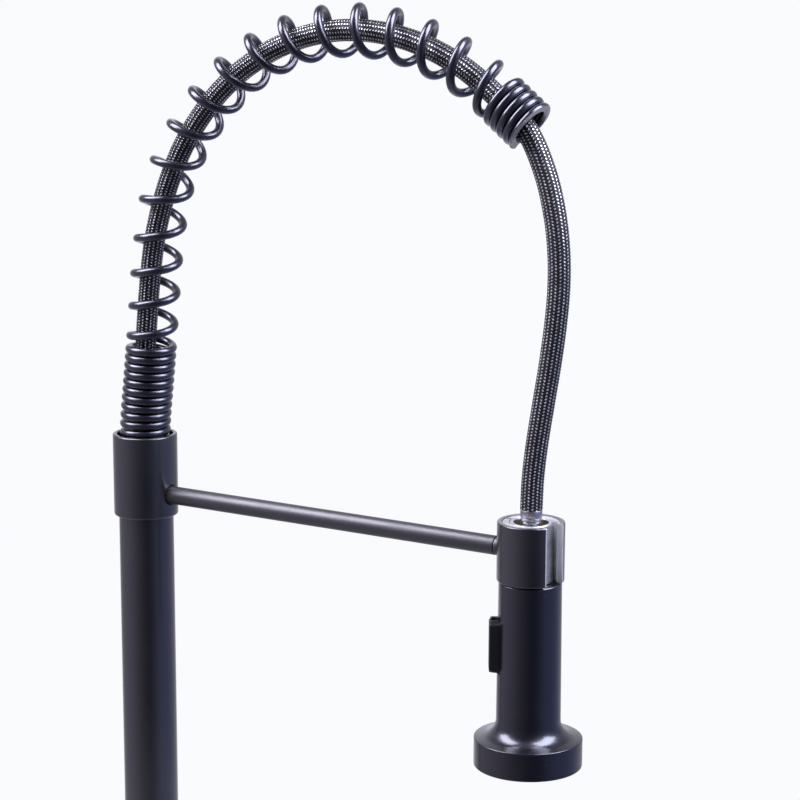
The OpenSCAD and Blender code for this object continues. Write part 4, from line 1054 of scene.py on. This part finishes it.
# floor, lamps and surroundings
room = {
    "floorRadius": 0.52, "floorBelow": 0.5 * mm, "floorColour": (0.8, 0.8, 0.81),
    "backdrop": (0.955, 0.963, 0.985), "centre": (0.0, -0.11, collarTop + 0.045),
    "towardsViewer": (-0.854, -0.520, 0.0), "toTheRight": (0.520, -0.854, 0.0),
}
lamps = {
    "softBoxLeft": {"sideways": -91, "upward": 48, "distance": 1.25, "size": (0.68, 1.12),
                    "colour": (0.98, 0.955, 1.14), "radiance": 9.6},
    "softBoxRight": {"sideways": 76, "upward": 48, "distance": 1.25, "size": (0.78, 1.12),
                     "colour": (0.93, 0.95, 1.16), "radiance": 9.6},
}
mirrored = [  # what the gloss shows, by degrees round from the viewer to the right
    (-180, 1.0), (-165, 0.8), (-150, 0.48), (-128, 0.3), (-90, 0.34), (-67, 0.31), (-50, 0.245),
    (-35, 0.165), (-20, 0.12), (0, 0.056), (20, 0.055), (40, 0.15), (55, 0.23), (75, 0.22),
    (90, 0.23), (120, 0.31), (150, 0.42), (165, 0.6), (180, 1.0),
]


def floorDisc():
    standClear()
    middleX, middleY = room["centre"][:2]
    bpy.ops.mesh.primitive_circle_add(vertices=96, radius=room["floorRadius"], fill_type="NGON",
                                      location=(middleX, middleY, cadLow.z - room["floorBelow"]))
    disc = bpy.context.object
    disc.name = "floor"
    bpy.ops.object.transform_apply(location=True, rotation=True, scale=True)
    bench = Finish("paleFloor", Roughness=0.7, Specular_IOR_Level=0.2)
    grain = bench.noise(bench.where, 60, 3.0)
    bench.wear(Base_Color=bench.blendOf(grain, room["floorColour"], tinted(room["floorColour"], 1.04)))
    x, y = bench.parts(bench.where)[:2]
    away = ((x * x + (y - middleY) ** 2) ** 0.5).rise(room["floorRadius"] * 0.5, room["floorRadius"] * 0.98)
    seen, glossy = bench.rays("Camera", "Glossy")
    glow = bench.node("ShaderNodeEmission", {}, {"Color": room["backdrop"], "Strength": 1.0})
    through = bench.node("ShaderNodeBsdfTransparent")
    clear = bench.node("ShaderNodeMixShader", {}, {0: seen, 1: through, 2: glow})
    solid = Signal(bench, bench.shader.outputs[0])
    mixed = bench.node("ShaderNodeMixShader", {}, {0: away.most(glossy * 0.85), 1: solid, 2: clear})
    bench.tree.links.new(mixed.socket, bench.output.inputs[0])
    disc.data.materials.append(bench.material)


def softBox(name, sideways, upward, distance, size, colour, radiance):
    sideways, upward = radians(sideways), radians(upward)
    flat = Vector(room["towardsViewer"]) * cos(sideways) + Vector(room["toTheRight"]) * sin(sideways)
    direction = flat * cos(upward) + Vector((0, 0, sin(upward)))
    for use, share in (("Gloss", 1.0), ("Fill", 0.5)):  # its reflection is brighter than the light it throws
        standClear()
        bpy.ops.object.light_add(type="AREA", location=Vector(room["centre"]) + direction * distance)
        lamp = bpy.context.object
        lamp.name = name + use
        lamp.rotation_euler = (-direction).to_track_quat("-Z", "Y").to_euler()
        lamp.data.shape = "RECTANGLE"
        lamp.data.size, lamp.data.size_y = size
        lamp.data.color = colour
        lamp.data.energy = share * radiance * pi * size[0] * size[1]
        lamp.visible_camera = False
        lamp.visible_glossy = use == "Gloss"
        lamp.visible_diffuse = use == "Fill"


def surroundings():
    world = bpy.data.worlds.new("surroundings")
    bpy.context.scene.world = world
    world.use_nodes = True
    bench = NodeBench(world.node_tree)
    direction = bench.node("ShaderNodeTexCoord")
    facing = bench.vector("DOT_PRODUCT", direction, room["towardsViewer"], output=1)
    right = bench.vector("DOT_PRODUCT", direction, room["toTheRight"], output=1)
    camera, glossy, transmitted = bench.rays("Camera", "Glossy", "Transmission")
    plain = camera.most(transmitted)
    behind = 1 - facing.rise(-0.35, 1.0)  # the room is darker on the viewer's side
    around = right.calc("ARCTAN2", right, facing) / (2 * pi) + 0.5
    stops = [(angle / 360 + 0.5, level) for angle, level in mirrored]
    mirror = bench.node("ShaderNodeValToRGB", {"stops": stops}, {0: around})
    mirror = mirror * (1 - bench.parts(direction)[2].rise(0.3, 0.75) * 0.75)
    level = plain + (1 - plain) * (glossy * mirror + (1 - glossy) * (0.2 + behind * 0.3))
    sides = bench.blendOf(right.rise(-0.6, 0.9), (0.98, 0.92, 1.22), (0.74, 0.86, 1.6))
    glossTint = bench.blendOf(facing.rise(-0.75, -0.2), (0.94, 0.93, 1.08), sides)
    tint = bench.blendOf(glossy * (1 - plain), room["backdrop"], glossTint)
    background = bench.node("ShaderNodeBackground", {}, {"Color": tint, "Strength": level})
    output = bench.tree.nodes.new("ShaderNodeOutputWorld")
    bench.tree.links.new(background.socket, output.inputs[0])


floorDisc()
for name, values in lamps.items():
    softBox(name, **values)
surroundings()
print("room lit")
